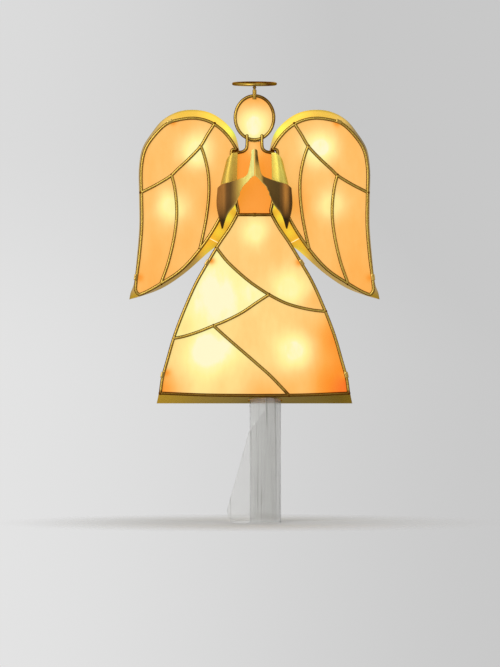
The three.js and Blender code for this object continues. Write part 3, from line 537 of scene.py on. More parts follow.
def strap(line, place, y):
    # A strip bent over the wire: its profile of (outwards, depth) carried across its width.
    share, at = np.modf(place * stock["perSpan"])
    start, end = line[int(at):int(at) + 2]
    along = unit(end - start)
    outer = paneStep + stock["sheet"]
    wall = stock["wire"] + tab["wall"] * stock["sheet"]
    out, depth = eased([
        (wall, paneStep + tab["foot"]), (wall, paneStep + tab["bendStart"] * tab["foot"]), (outer, paneStep),
        (outer, -outer), (-tab["reach"], -outer),
    ], tab["bend"], 7).T[..., None, None]
    width = tab["width"] * np.linspace(-0.5, 0.5, 7)[:, None]
    middle = inSpace(start + (end - start) * share, y)
    outwards = np.array([along[1], 0, -along[0]])
    return gridSurface(middle + out * outwards - depth * np.array(frontward) + width * inSpace(along, 0))


def underHead(x, y, z):
    # The neck's end stays a gap below the head tray's oval.
    across = np.clip(x / (head["halfWidth"] + paneStep), -1, 1)
    z[:] = np.minimum(z, headRise - (head["halfHeight"] + paneStep) * np.sqrt(1 - across**2))


bodySide = mirrored(bodyFront[:len(leftHalf)])[::-1]


def besideBody(x, y, z):
    # The wings' walls lie close against the body's side.
    edge = np.interp(z, bodySide[:, 1], bodySide[:, 0]) + stock["besideGap"]
    x[:] = -np.maximum(-x, np.where(z < shoulder, edge, 0))


hole = {
    "socket": 4.8 * mm,  # radii
    "rivet": 1.8 * mm,
    "mouth": 16.3 * mm,
    "mouthRise": 5.5 * mm,  # of the mouth's cutter above the hem
    "mouthSides": 64,
    "leadRoom": 0.4 * mm,
    "halfLength": 3 * mm,
}
leadHole = grownSurface(lead, hole["leadRoom"])
sleeveAxis = boxOf("sleeve_ring_lower")[0][0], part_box("tree_sleeve")[0].y + stock["sleeve"]


def drill(centre, radius, axis, half=hole["halfLength"], sides=stock["turnedSides"]):
    return lathe([(0, -half), (radius, -half), (radius, half), (0, half)], centre, axis, sides)


def socketHoles(places, yBack):
    return [drill((x, yBack, z), hole["socket"], (0, 1, 0)) for x, z in places]


def rivetHoles(side):
    return [drill(boxOf(f"rivet_{side}_{number:02d}")[0], hole["rivet"], (1, 0, 0)) for number in (1, 2)]


def makeTray(name, source, shell, cutters):
    tray = pieceOf(name, [shell], source)
    thicken(tray, stock["sheet"])
    cutHoles(tray, [*cutters, leadHole])
    return tray


def makeBodyTray():
    shell = trayShell(bodyFront, bodyBack, bodyPlane + paneStep, backFace, underHead)
    half = (body["hem"] + hole["mouthRise"]) / 2
    mouth = drill((*sleeveAxis, half), hole["mouth"], (0, 0, 1), half, hole["mouthSides"])
    backHoles = socketHoles([*bodyLamps, flatPlace("lead_grommet")], backFace)
    sideHoles = rivetHoles("left") + rivetHoles("right")
    return makeTray("body_pan", "body_tray", shell, [*backHoles, *sideHoles, mouth])


def makeWingTray(side, places):
    shell = trayShell(wingFront, wingBack, wingPlane + paneStep, backFace, besideBody)
    cutters = socketHoles(places, backFace) + rivetHoles(side)
    return makeTray(f"wing_pan_{side}", f"wing_tray_{side}", sided(shell, side), cutters)


def makeHeadTray():
    outline = offset(headLine, stock["wire"])
    shell = trayShell(outline, offset(outline, -head["taper"]), headPlane + paneStep, headBack)
    return makeTray("head_pan", "head_tray", shell, socketHoles(headLamps, headBack))


def makeTab(name, surface):
    piece = pieceOf(name, [surface])
    points = surface[0]
    outermost = points[np.argmax(np.abs(points[:, 0]))]
    turnFaces(piece, (outermost - points.mean(0)) * (1, 0, 1) + np.array(frontward) * 2 * mm)
    thicken(piece, stock["sheet"], stock["rim"])
    return piece


trays = [makeBodyTray(), makeWingTray("left", leftLamps), makeWingTray("right", rightLamps), makeHeadTray()]
tabs = [
    makeTab(f"{part}_tab_{side}_{number}", sided(strap(line, place, y), side))
    for part, places, line, y in (
        ("body", body["tabs"], dressLine, bodyPlane), ("wing", wing["tabs"], wingEdge, wingPlane))
    for number, place in enumerate(places, 1) for side in bothSides]
print("trays ready")


# Arms: rolled sheet through ribs of [distance from the middle, depth, height]

arm = {
    "standOut": 18 * mm,
    "depth": 20.5 * mm,
    "drop": 13 * mm,  # the sleeve points below the waist
    "handRise": 3 * mm,
    "forearm": [
        [[0.74, -0.99, 0.519], [0.782, -0.99, 0.285], [0.829, -0.93, 0.057]],
        [[0.964, 0, 0.505], [0.984, 0, 0.285], [0.857, -0.17, 0]],
        [[0.844, 0.29, 0.558], [0.909, 0.27, 0.285], [0.836, 0.15, 0.003]],
        [[0.621, 0.51, 0.587], [0.675, 0.49, 0.361], [0.704, 0.39, 0.175]],
        [[0.387, 0.7, 0.624], [0.434, 0.68, 0.462], [0.486, 0.585, 0.313]],
        [[0.203, 0.83, 0.67], [0.26, 0.82, 0.589], [0.335, 0.76, 0.509]],
        [[0.127, 0.91, 0.791], [0.156, 0.9, 0.677], [0.187, 0.88, 0.584]],
        [[0.086, 0.96, 0.913], [0.074, 0.96, 0.766], [0.068, 0.95, 0.645]],
        [[0.066, 0.985, 0.985], [0.05, 0.99, 0.82], [0.045, 0.985, 0.652]],
        [[0.005, 0.985, 1], [0.005, 0.99, 0.83], [0.005, 0.985, 0.66]],
    ],
    "upperArm": [
        [[0.436, 0, 0.958], [0.447, 0, 0.73], [0.45, 0, 0.49]],
        [[0.553, 0.08, 0.958], [0.61, 0.11, 0.73], [0.66, 0.11, 0.49]],
        [[0.636, 0.06, 0.93], [0.72, 0.09, 0.715], [0.79, 0.06, 0.49]],
        [[0.704, -0.17, 0.892], [0.803, -0.2, 0.703], [0.88, -0.33, 0.548]],
        [[0.74, -0.83, 0.855], [0.813, -1.06, 0.703], [0.886, -1.12, 0.545]],
    ],
    "perSpan": 10,
    "rim": 0.2 * mm,
    "edgeHighlightFall": 24,  # how fast the lower edge's painted highlight fades up the sheet
}


def armPoints(shares):
    across, ahead, up = np.moveaxis(np.asarray(shares, float), -1, 0)
    base = bodyPoints(body["torso"])[-1, 1] - arm["drop"]
    depth = np.where(ahead > 0, arm["depth"], wingPlane - bodyPlane - paneStep)
    rise = up * (shoulder + arm["handRise"] - base)
    return pointsOf(-across * (torsoHalfWidth + arm["standOut"]), bodyPlane - ahead * depth, base + rise)


def makeArm(name, ribs, lift, side):
    # Smooth lines down every rib, then smooth lines across them: a sheet of two parameters.
    points = armPoints(ribs) - (0, lift, 0)
    down = smoothLine(np.swapaxes(points, 0, 1), arm["perSpan"])
    sheet = smoothLine(np.swapaxes(down, 0, 1), arm["perSpan"])
    surface = gridSurface(sheet, ridge=np.linspace(0, 1, sheet.shape[1]) ** arm["edgeHighlightFall"])
    piece = pieceOf(f"{name}_sheet_{side}", [sided(surface, side)], f"{name}_{side}")
    turnFaces(piece, frontward)
    thicken(piece, stock["armSheet"], arm["rim"])
    return piece


forearms = [makeArm("forearm", arm["forearm"], 0, side) for side in bothSides]
upperArms = [makeArm("upper_arm", arm["upperArm"], paneStep + stock["armSheet"], side) for side in bothSides]
print("arms ready")


# Halo: one wire bent to a ring, its end turned down into the tube on the head ring

halo = {
    "radius": 19.8 * mm,
    "wire": 1.45 * mm,
    "pin": 0.95 * mm,
    "rise": 4.6 * mm,
    "tilt": np.radians(5.2),
    "engagement": 6 * mm,
    "steps": 96,
    "sides": 20,
    "nearness": (0.64, 0.32),  # how bright its rubbing and painted highlight are, half way back, and how much more in front; towards the back it is painted shade
    "swell": (0.9, 2.6 * mm, 0.9 * mm),  # solder on the pin: share of its radius, depth, length
    "tubeEdge": 0.25 * mm,
}


def makeHaloTube():
    _, (width, _, height) = boxOf("halo_tube")
    bore, outer = halo["pin"] + stock["gap"], width / 2
    profile = eased([(bore, 0), (outer, 0), (outer, height), (bore, height)], halo["tubeEdge"], closed=True)
    return turnedPiece("halo_holder", "halo_tube", (0, 0, 1), profile)


def makeHalo():
    # Ring: a circle through the pin, tilted back. Pin: straight down, its radius swollen by a bell curve.
    (_, y, _), _ = boxOf("halo_tube")
    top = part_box("halo_tube")[1].z
    foot = top + halo["rise"]
    turn = turnSteps(halo["steps"])
    back = halo["radius"] * (1 - np.cos(turn))
    level, climb = np.cos(halo["tilt"]), np.sin(halo["tilt"])
    ring = pointsOf(halo["radius"] * np.sin(turn), y + back * level, foot + back * climb)
    points, faces, _ = tube(ring, halo["wire"], halo["sides"], closed=True, facing=(0, -climb, level))
    middle, more = halo["nearness"]
    # painted highlight on the ring's front, painted shade towards its back
    nearness = np.repeat(middle + more * np.cos(turn), halo["sides"])
    pin = straightLine((0, y, foot), (0, y, top - halo["engagement"]), 24)
    swell, below, length = halo["swell"]
    radius = halo["pin"] * (1 + swell * np.exp(-((pin[:, 2] - foot + below) / length) ** 2))
    return pieceOf("halo_wire", [(points, faces, nearness), tube(pin, radius)], "halo")


haloParts = [makeHalo(), makeHaloTube()]
print("halo ready")


# Lamps, rivets and grommet, all turned; profiles are (radius, distance along the axis)

socket = {
    "flange": 6.5 * mm,
    "flangeThickness": 2 * mm,
    "barrel": 4.5 * mm,
    "bore": 2.6 * mm,
    "boreDepth": 9 * mm,
    "dimple": 2.3 * mm,
    "dimpleDepth": 0.8 * mm,
    "dimpleSlope": 0.4 * mm,
    "edge": 0.5 * mm,
}
bulb = {
    "radius": 2.6 * mm,
    "base": 2.25 * mm,
    "foot": 0.3,  # share of the length
    "belly": 1.4,  # how early the bulb is at its widest
    "tip": 5,  # how late it closes
    "mouth": 0.98,  # share of the base, where its edge turns in
    "steps": 26,
}
rivet = {"shank": 1.5 * mm, "headHeight": 0.9 * mm}
grommetSizes = {"bore": 2.2 * mm, "neck": 3.9 * mm, "rim": 1.3 * mm, "edge": 0.6 * mm}


def makeSocket(number):
    name, s = f"lamp_socket_{number:02d}", socket
    length = boxOf(name)[1][1]
    profile = eased([
        (0, s["dimpleDepth"]), (s["dimple"], s["dimpleDepth"]), (s["dimple"] + s["dimpleSlope"], 0),
        (s["flange"], 0), (s["flange"], s["flangeThickness"]), (s["barrel"], s["flangeThickness"]),
        (s["barrel"], length), (s["bore"], length), (s["bore"], length - s["boreDepth"]),
        (0, length - s["boreDepth"]),
    ], s["edge"], 6)
    holder = f"lamp_holder_{number:02d}"
    return turnedPiece(holder, name, frontward, profile, stock["fineSides"])


def makeBulb(number):
    # Glass: a straight foot, then a bulb whose radius swells and closes to a point.
    name, base = f"lamp_bulb_{number:02d}", bulb["base"]
    length = boxOf(name)[1][1]
    share = np.linspace(0, 1, bulb["steps"])
    swell = base + (bulb["radius"] - base) * np.sin(np.pi * np.clip(share * bulb["belly"], 0, 0.5))
    radius = swell * np.sqrt(np.clip(1 - share ** bulb["tip"], 0, 1))
    along = length * (bulb["foot"] + share * (1 - bulb["foot"]))
    profile = pointsOf(np.append([0, base * bulb["mouth"]], radius), np.append([0, 0], along))
    return turnedPiece(f"bulb_{number:02d}", name, frontward, profile)


def makeRivet(side, number):
    name, height = f"rivet_{side}_{number:02d}", rivet["headHeight"]
    _, (length, _, width) = boxOf(name)
    turn = np.linspace(0, np.pi / 2, 7)
    dome = pointsOf(width / 2 * np.sin(turn), height * (1 - np.cos(turn)))
    shank = [(rivet["shank"], height), (rivet["shank"], length - height)]
    profile = joined(dome, shank, dome[::-1] * (1, -1) + (0, length))
    return turnedPiece(name + "_dome", name, (1, 0, 0), profile)


def makeGrommet():
    _, (width, length, _) = boxOf("lead_grommet")
    bore, neck, rim, edge = grommetSizes.values()
    outer = width / 2
    profile = eased([
        (bore, 0), (outer, 0), (outer, rim), (neck, rim), (neck, length - rim), (outer, length - rim),
        (outer, length), (bore, length),
    ], edge, 6, closed=True)
    return turnedPiece("grommet", "lead_grommet", frontward, profile, stock["fineSides"])


sockets = [makeSocket(number) for number in range(1, 11)]
bulbs = [makeBulb(number) for number in range(1, 11)]
rivets = [makeRivet(side, number) for side in bothSides for number in (1, 2)]
grommet = makeGrommet()
print("lamps, rivets and grommet ready")


# Sleeve: one clear sheet rolled round, its outer layer ending in a flap with a slanted edge

sleeve = {
    "sheet": 0.5 * mm,
    "turns": 1.12,
    "lap": 0.45 * mm,  # air between the two layers
    "flap": 36 * mm,
    "corner": 7.5 * mm,
    "foot": 12 * mm,  # height of the slanted edge's end, at the rounded corner
    "run": 21 * mm,
    "seamDrop": 5 * mm,
    "lowerRows": 44,
    "upperRows": 24,
    "columns": 40,
    "rollSteps": 110,
    "crowding": 1.15,  # of the flap's columns towards the seam
}


def makeSleeve():
    # Flap: flat columns from the round corner to the seam, between their low and high ends.
    # Roll: the section turns by the angle a at radius R - pitch * turns, from the foot to the top.
    s, outer = sleeve, stock["sleeve"]
    low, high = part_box("tree_sleeve")
    axisX, axisY = low.x + s["flap"], low.y + outer
    seamTop = trayFoot - s["seamDrop"]
    rows = np.linspace(0, 1, s["lowerRows"])
    x = -s["flap"] * np.linspace(1, 0, s["columns"])[:, None] ** s["crowding"]
    into = np.clip((x + s["flap"]) / s["corner"], 0, 1)
    bottom = s["foot"] * (1 - np.sqrt(into)) ** 2
    top = np.interp(x, [-s["flap"], -outer, 0], [s["foot"], seamTop - s["run"], seamTop])
    flap = pointsOf(axisX + x, axisY - outer, bottom + (top - bottom) * rows)
    turns = s["turns"] * np.linspace(0, 1, s["rollSteps"])[:, None]
    angle = 2 * np.pi * turns - np.pi / 2
    radius = outer - (s["sheet"] + s["lap"]) * turns
    heights = joined(rows * seamTop, np.linspace(seamTop, high.z, s["upperRows"])[1:])
    roll = pointsOf(axisX + radius * np.cos(angle), axisY + radius * np.sin(angle), heights)
    surfaces = [gridSurface(flap), gridSurface(roll)]
    piece = pieceOf("clear_sleeve", surfaces, "tree_sleeve", "sleeve")
    turnFaces(piece, (faceValues(piece, "center") - (axisX, axisY, 0)) * (1, 1, 0))
    thicken(piece, s["sheet"], stock["rim"])
    return piece


sleevePiece = makeSleeve()
print("sleeve ready")


# Materials

def tint(red, green, blue):
    # A colour as a screen shows it, 0 to 255, in the linear values that sockets take.
    value = np.array([red, green, blue]) / 255
    linear = np.where(value <= 0.04045, value / 12.92, ((value + 0.055) / 1.055) ** 2.4)
    return (*linear.tolist(), 1.0)


def isResult(value):
    return isinstance(value, bpy.types.NodeSocket)


def plug(inputs, values):
    # Each value on its socket; another node's result becomes a link.
    for name, value in values.items():
        if isResult(value):
            inputs[name].id_data.links.new(value, inputs[name])
        else:
            inputs[name].default_value = value


def node(kind, sockets, tree=None, **settings):
    # The results of a new node, made in the given tree or in that of the results it takes in.
    tree = tree or next(value.id_data for value in sockets.values() if isResult(value))
    made = tree.nodes.new("ShaderNode" + kind)
    for name, value in settings.items():
        setattr(made, name, value)
    plug(made.inputs, sockets)
    return made.outputs


def maths(operation, first, second=0.0, clamp=False):
    return node("Math", {0: first, 1: second}, operation=operation, use_clamp=clamp)[0]


def times(first, second, clamp=False):
    return maths("MULTIPLY", first, second, clamp)


def vector(operation, first, second=(0, 0, 0)):
    # SCALE takes a number second, and LENGTH gives one.
    slot = "Scale" if operation == "SCALE" else 1
    made = node("VectorMath", {0: first, slot: second}, operation=operation)
    return made["Value" if operation == "LENGTH" else "Vector"]


def mixed(share, first, second):
    return node("Mix", {0: share, 6: first, 7: second}, data_type="RGBA")[2]


def between(share, first, second):
    return node("Mix", {0: share, 2: first, 3: second})[0]


def remapped(value, low, high, newLow=0.0, newHigh=1.0, change="SMOOTHSTEP"):
    sockets = dict(enumerate((value, low, high, newLow, newHigh)))
    return node("MapRange", sockets, interpolation_type=change)[0]


def spread(value, low, high):
    # Noise, nearly all of it from 0.3 to 0.7, taken to a range of its own.
    return remapped(value, 0.3, 0.7, low, high)


def noise(at, scale, detail):
    return node("TexNoise", {"Vector": at, "Scale": scale, "Detail": detail})[0]


def axes(value):
    return node("SeparateXYZ", {0: value})


def ridgeOf(at):
    return node("Attribute", {}, at.id_data, attribute_name="ridge")["Fac"]


def ramp(factor, stops):
    made = factor.id_data.nodes.new("ShaderNodeValToRGB")
    plug(made.inputs, {0: factor})
    elements = made.color_ramp.elements
    while len(elements) < len(stops):
        elements.new(1)
    for element, (position, *colour) in zip(elements, stops):
        element.position, element.color = position, tint(*colour)
    return made.outputs[0]


def newGroup(name, inputs, results):
    # Sockets by name, with their kind; a number is a float's usual value.
    group = bpy.data.node_groups.new(name, "ShaderNodeTree")
    for way, sockets in (("INPUT", inputs), ("OUTPUT", results)):
        for socketName, value in sockets.items():
            kind = value if isinstance(value, str) else "Float"
            made = group.interface.new_socket(socketName, in_out=way, socket_type="NodeSocket" + kind)
            if value != kind:
                made.default_value = value
    return group, group.nodes.new("NodeGroupInput").outputs, group.nodes.new("NodeGroupOutput").inputs


def makeLampGlow():
    # Mask: gain times the bell curve of distance / reach, at most 1, measured in the frame's plane.
    group, given, result = newGroup(
        "lampGlow", {"Place": "Vector", "Lamp": "Vector", "Reach": 0.02, "Gain": 1.0}, {"Mask": "Float"})
    away = vector("MULTIPLY", vector("SUBTRACT", given["Place"], given["Lamp"]), (1, 0, 1))
    share = maths("DIVIDE", vector("LENGTH", away), given["Reach"])
    fall = maths("EXPONENT", times(times(share, share), -1.0))
    plug(result, {"Mask": times(fall, given["Gain"], clamp=True)})
    return group


def makeClouds():
    # Soft uneven film: wide noise stretched along Z, with a finer one over it. Value is about 0 to 1.
    group, given, result = newGroup(
        "clouds", {"Place": "Vector", "Size": 0.03, "Stretch": 2.5, "Fine": 0.3}, {"Value": "Float"})
    scale = maths("DIVIDE", 1.0, given["Size"])
    down = maths("DIVIDE", scale, given["Stretch"])
    sizes = node("CombineXYZ", {"X": scale, "Y": scale, "Z": down})[0]
    at = vector("MULTIPLY", given["Place"], sizes)
    value = between(given["Fine"], noise(at, 1.0, 2.0), noise(at, 6.0, 3.0))
    plug(result, {"Value": value})
    return group


aged = {
    "patches": (-0.22, 0.22),  # how far they move the mix
    "streaks": (0.93, 1.04),  # what they do to the colour
    "streakScale": (1, 1, 0.06),  # long along Z
    "streakHeight": 0.05,  # beside the patches' height
}


def makeAgedMetal():
    # Metal that has been handled: wide patches mix Dull and Bright, rolled streaks shade them and
    # vary the roughness. Shade moves the mix: 0 is Dull, 1 is Bright.
    group, given, result = newGroup("agedMetal", {
        "Place": "Vector", "Bright": "Color", "Dull": "Color", "Shade": 0.6,
        "Patch": 0.03, "Streak": 0.001, "Smooth": 0.2, "Rough": 0.36,
    }, {"Color": "Color", "Roughness": "Float", "Height": "Float"})
    patches = noise(given["Place"], maths("DIVIDE", 1.0, given["Patch"]), 4.0)
    stretched = vector("MULTIPLY", given["Place"], aged["streakScale"])
    streaks = noise(stretched, maths("DIVIDE", 1.0, given["Streak"]), 2.0)
    share = maths("ADD", given["Shade"], spread(patches, *aged["patches"]), clamp=True)
    colour = mixed(share, given["Dull"], given["Bright"])
    mix = times(maths("ADD", streaks, patches), 0.5)
    plug(result, {
        "Color": vector("SCALE", colour, spread(streaks, *aged["streaks"])),
        "Roughness": between(mix, given["Smooth"], given["Rough"]),
        "Height": maths("ADD", patches, times(streaks, aged["streakHeight"])),
    })
    return group


lampGlow, clouds, agedMetal = makeLampGlow(), makeClouds(), makeAgedMetal()


def newMaterial(name):
    # A material, and the place on the object in its tree.
    material = bpy.data.materials.new(name)
    material.use_nodes = True
    return material, node("TexCoord", {}, material.node_tree)["Object"]


def finished(material, sockets, *bump):
    # Values and links on the one Principled shader; a bump is its height, distance and strength.
    if bump:
        sockets["Normal"] = node("Bump", dict(zip(("Height", "Distance", "Strength"), bump)))[0]
    plug(material.node_tree.nodes["Principled BSDF"].inputs, sockets)
    return material


def give(material, pieces):
    for piece in pieces:
        piece.data.materials.clear()
        piece.data.materials.append(material)


def fromGroup(group, *values):
    # What a group gives for values in the order of its sockets.
    return node("Group", dict(enumerate(values)), node_tree=group)


def spotMask(at, spot, gain=1.0):
    # Mask round a place given as (x, z, reach) in millimetres.
    x, z, reach = (float(value) * mm for value in spot)
    return fromGroup(lampGlow, at, (x, 0, z), reach, gain)["Mask"]


def summedGlow(at, places):
    # Several spots (x, z, reach, amount) one after another: 1 - (1 - a) * (1 - b) and so on.
    total = 1.0
    for *spot, amount in places:
        rest = maths("SUBTRACT", 1.0, times(spotMask(at, spot), amount))
        total = times(total, rest)
    return maths("SUBTRACT", 1.0, total)


pane = {
    "stops": [  # the light, and the colour that it has as red, green and blue
        (0.0, 250, 112, 2), (0.1, 251, 142, 14), (0.22, 252, 166, 58), (0.34, 254, 188, 94),
        (0.48, 253, 209, 124), (0.62, 254, 230, 145), (0.78, 255, 248, 158), (0.92, 255, 254, 178),
        (1.0, 255, 255, 212),
    ],
    "film": (tint(96, 56, 16), tint(120, 72, 26)),
    "strength": 0.88,
    "lampGain": 1.25,
    "sway": (0.03, 9 * mm),  # size of the waves that move the spots' edges, and how far
    "clouds": (0.026, 2.4, 0.2),  # size, stretch and share of fine noise
    "cloudLight": (0.25, 0.75, 0.86, 1.13),  # the clouds' range, and what it does to the light
    "haze": (0.006, 1.5, 0.5),
    "roughness": (0.34, 0.5),
    "coat": (0.08, 0.2),
    # Every pane, or the wing with its panes: its light, its lamps as (number, the light there, reach),
    # and uneven places as (x, z, reach, the light there), with places in millimetres
    "panes": {
        "dress_pane_01": (0.46, [(1, 0.88, 12), (3, 0.9, 16)], [(38, 230, 12, 0.55), (58, 210, 11, 0.36)]),
        "dress_pane_02": (0.86, [(2, 0.97, 18)], [
            (-40, 262, 12, 0.62), (-64, 186, 12, 0.7), (-30, 222, 16, 0.92)]),
        "dress_pane_03": (0.53, [(5, 0.93, 16)], [
            (92, 126, 42, -0.04), (76, 172, 24, 0.12), (24, 126, 18, 0.34)]),
        "dress_pane_04": (0.61, [(4, 1.03, 21)], [
            (-90, 126, 20, 0.14), (10, 118, 28, 0.32), (-84, 166, 8, 0.44), (-20, 165, 14, 0.8)]),
        "torso_pane": (0.15, [], [(0, 354, 9, 0.38), (-19, 320, 5, 0.24), (19, 320, 5, 0.24)]),
        "head_pane": (0.3, [(6, 0.95, 15)], [(0, 398, 14, 0.22)]),
        "left": (0.37, [(7, 0.96, 14), (8, 0.84, 14)], [(-100, 230, 28, 0.31), (-40, 300, 14, 0.28)]),
        "right": (0.37, [(9, 1.0, 14), (10, 0.76, 14)], [(104, 226, 28, 0.27), (40, 300, 16, 0.26)]),
    },
    "strapShadow": (3.6, 0.14),  # painted shadow of the straps on the pane beside them: reach in millimetres and the light there
    "strapShadowInset": 2.4 * mm,
    "bump": (0.1 * mm, 0.25),  # height and strength
}


def swayedPlace(at):
    # The place moved a little by soft waves, so that no spot is quite round.
    size, move = pane["sway"]
    waves = node("TexNoise", {"Vector": at, "Scale": 1 / size, "Detail": 1.0})["Color"]
    even = vector("SUBTRACT", waves, (0.5, 0.5, 0.5))
    return vector("ADD", at, vector("SCALE", even, move))


def paneMaterial(name, level, lit, uneven, besideStraps):
    # Film lit from behind: a level, moved towards other lights near uneven places and lamps, then scaled by
    # the clouds, picks the colour from the stops. Beside the straps the light is lowered as their painted
    # shadow.
    material, at = newMaterial("lit film " + name)
    strapShadowReach, strapShadowLight = pane["strapShadow"]
    spots = [(spot, there, 1.0) for *spot, there in uneven]
    for number, there, reach in lit:
        x, z = lamps[number - 1]
        spots.append(((x / mm, z / mm, reach), there, pane["lampGain"]))
    # painted shadows of the straps on the pane, as low light beside them
    spots += [((x / mm, z / mm, strapShadowReach), strapShadowLight, 1.0) for x, z in besideStraps]
    light, swayed = level, swayedPlace(at)
    for spot, there, gain in spots:
        light = between(spotMask(swayed, spot, gain), light, there)
    cloud = fromGroup(clouds, at, *pane["clouds"])["Value"]
    light = times(light, remapped(cloud, *pane["cloudLight"]), clamp=True)
    film = fromGroup(clouds, at, *pane["haze"])["Value"]
    return finished(material, {
        "Emission Color": ramp(light, pane["stops"]), "Emission Strength": pane["strength"],
        "Base Color": mixed(film, *pane["film"]), "Roughness": spread(film, *pane["roughness"]),
        "Coat Weight": spread(cloud, *pane["coat"]), "Coat Roughness": 0.25, "Specular IOR Level": 0.35,
    }, film, *pane["bump"])


gold = {
    "edge": (0.9, 0.71, 0.3, 1.0),  # what glancing light keeps
    "upper": (tint(214, 182, 108), tint(190, 154, 78)),  # bright and dull, with painted light on faces that look up
    "lower": (tint(228, 190, 88), tint(190, 152, 70)),  # and with painted shade on faces that look down
    "facing": (-0.7, 0.7),  # the normal's height where a face looks down and where it looks up
    "walls": (0.5, 0.85),  # the normal's depth where the walls' looks start to fade and have gone
    "shaded": tint(70, 36, 4),
    # Painted shade on the walls, on the hem and outside the right wing: (x, z, reach, amount)
    "shades": [(36, 104, 86, 1.3), (-42, 112, 28, 0.36), (98, 360, 15, 1.0), (106, 330, 12, 1.0)],
    "rearShade": (tint(110, 104, 36), 12, 0.75),  # painted shade near the back fold of walls that look up: colour, reach in millimetres, amount
    # The lamps' light that comes out between the trays: its colours, and (x, z, reach, amount)
    "leaks": [
        (0.0, 0, 0, 0), (0.2, 86, 72, 28), (0.45, 156, 124, 42), (0.75, 170, 162, 56), (1.0, 164, 198, 64),
    ],
    "slits": [
        (22, 370, 15, 1.0), (40, 386, 16, 0.5), (17, 299, 6, 0.9), (25, 288, 10, 0.9), (33, 274, 10, 0.76),
        (44, 259, 15, 0.68),
    ],
    # Painted highlight along the fold that shows there: height at the middle, slope, thickness, colour,
    # where
    "fold": (247.7, 0.48, 0.45, tint(255, 244, 200), (38.5, 266.2, 5)),
    # The share of bright, the sizes of patches and streaks in metres, and the two ends of roughness
    "metal": (0.6, 0.035, 0.0015, 0.2, 0.36),
    "bump": (0.25 * mm, 0.2),
}


def foldHighlightMask(at):
    # Painted highlight: a thin straight line, the same on both sides of the middle, that fades out at its
    # ends.
    rise, slope, thickness, _, (x, z, reach) = gold["fold"]
    parts = axes(at)
    line = maths("ADD", times(maths("ABSOLUTE", parts["X"]), slope), rise * mm)
    away = maths("ABSOLUTE", maths("SUBTRACT", parts["Z"], line))
    near = summedGlow(at, [(side * x, z, reach, 1.0) for side in (-1, 1)])
    return times(remapped(away, 0.5 * thickness * mm, thickness * mm, 1.0, 0.0), near)


def trayMaterial():
    # Tray sheet: brighter gold on faces that look up and browner below as painted light and shade, with
    # painted shade at the walls' rear and dark ends, a painted highlight along the fold, and the lamps'
    # light on it.
    material, at = newMaterial("tray gold")
    normal = axes(node("TexCoord", {}, at.id_data)["Normal"])
    facing = remapped(normal["Z"], *gold["facing"])
    walls = remapped(maths("ABSOLUTE", normal["Y"]), *gold["walls"], 1.0, 0.0)
    # painted light and shade: brighter on faces that look up, browner on faces that look down
    bright, dull = (mixed(facing, low, high) for low, high in zip(gold["lower"], gold["upper"]))
    metal = fromGroup(agedMetal, at, bright, dull, *gold["metal"])
    # painted shade near the back fold of the walls that look up
    rearShadeColour, reach, amount = gold["rearShade"]
    rearShade = remapped(axes(at)["Y"], backFace - reach * mm, backFace, 0.0, amount)
    rearShaded = mixed(times(times(rearShade, walls), facing), metal["Color"], rearShadeColour)
    slits = [(side * x, z, reach, amount) for x, z, reach, amount in gold["slits"] for side in (-1, 1)]
    leaks = ramp(times(summedGlow(at, slits), walls), gold["leaks"])
    # painted shade on the walls' dark ends, and the painted highlight along the fold
    shade, fold = (times(mask, walls) for mask in (summedGlow(at, gold["shades"]), foldHighlightMask(at)))
    return finished(material, {
        "Metallic": 1.0, "Specular Tint": gold["edge"], "Roughness": metal["Roughness"],
        "Base Color": mixed(shade, rearShaded, gold["shaded"]),
        "Emission Color": mixed(fold, leaks, gold["fold"][3]), "Emission Strength": 1.0,
    }, metal["Height"], *gold["bump"])


armGold = {
    # Painted light and shade across the arms from left to right: (x in millimetres, red, green, blue)
    "forearm": [
        (-36, 120, 78, 34), (-34.5, 168, 112, 50), (-29, 176, 116, 52), (-26, 104, 66, 30),
        (-22.5, 96, 64, 28), (-18, 158, 120, 54), (-13, 222, 186, 82), (-9, 255, 236, 124),
        (-1, 255, 252, 156), (1, 246, 200, 86), (6, 222, 178, 80), (8.5, 110, 82, 34), (23, 92, 66, 28),
        (26, 130, 86, 38), (29, 210, 140, 60), (31.5, 184, 124, 54), (33.5, 96, 64, 28), (36, 72, 46, 20),
    ],
    "upperArm": [
        (-36, 227, 193, 90), (-25, 231, 197, 89), (-14, 240, 204, 87), (14, 250, 230, 105),
        (25, 242, 226, 107), (36, 238, 222, 104),
    ],
    "reach": 36,
    "shades": [(3, 354, 9, 1.0), (4, 343, 7, 0.9)],  # painted shade right of the middle, between the hands
    "tips": [(-29, 274, 17, 1.5), (29, 274, 19, 1.5)],  # painted shade at the sleeves' lower points
    "shaded": tint(44, 26, 6),
    "edge": tint(255, 226, 124),  # painted highlight of the lower edge, with its share
    "edgeHighlightShare": 0.75,
    "dull": 0.82,  # of the bright colour
    "metal": (0.6, 0.04, 0.002, 0.42, 0.56),
    "bump": (0.25 * mm, 0.08),
}


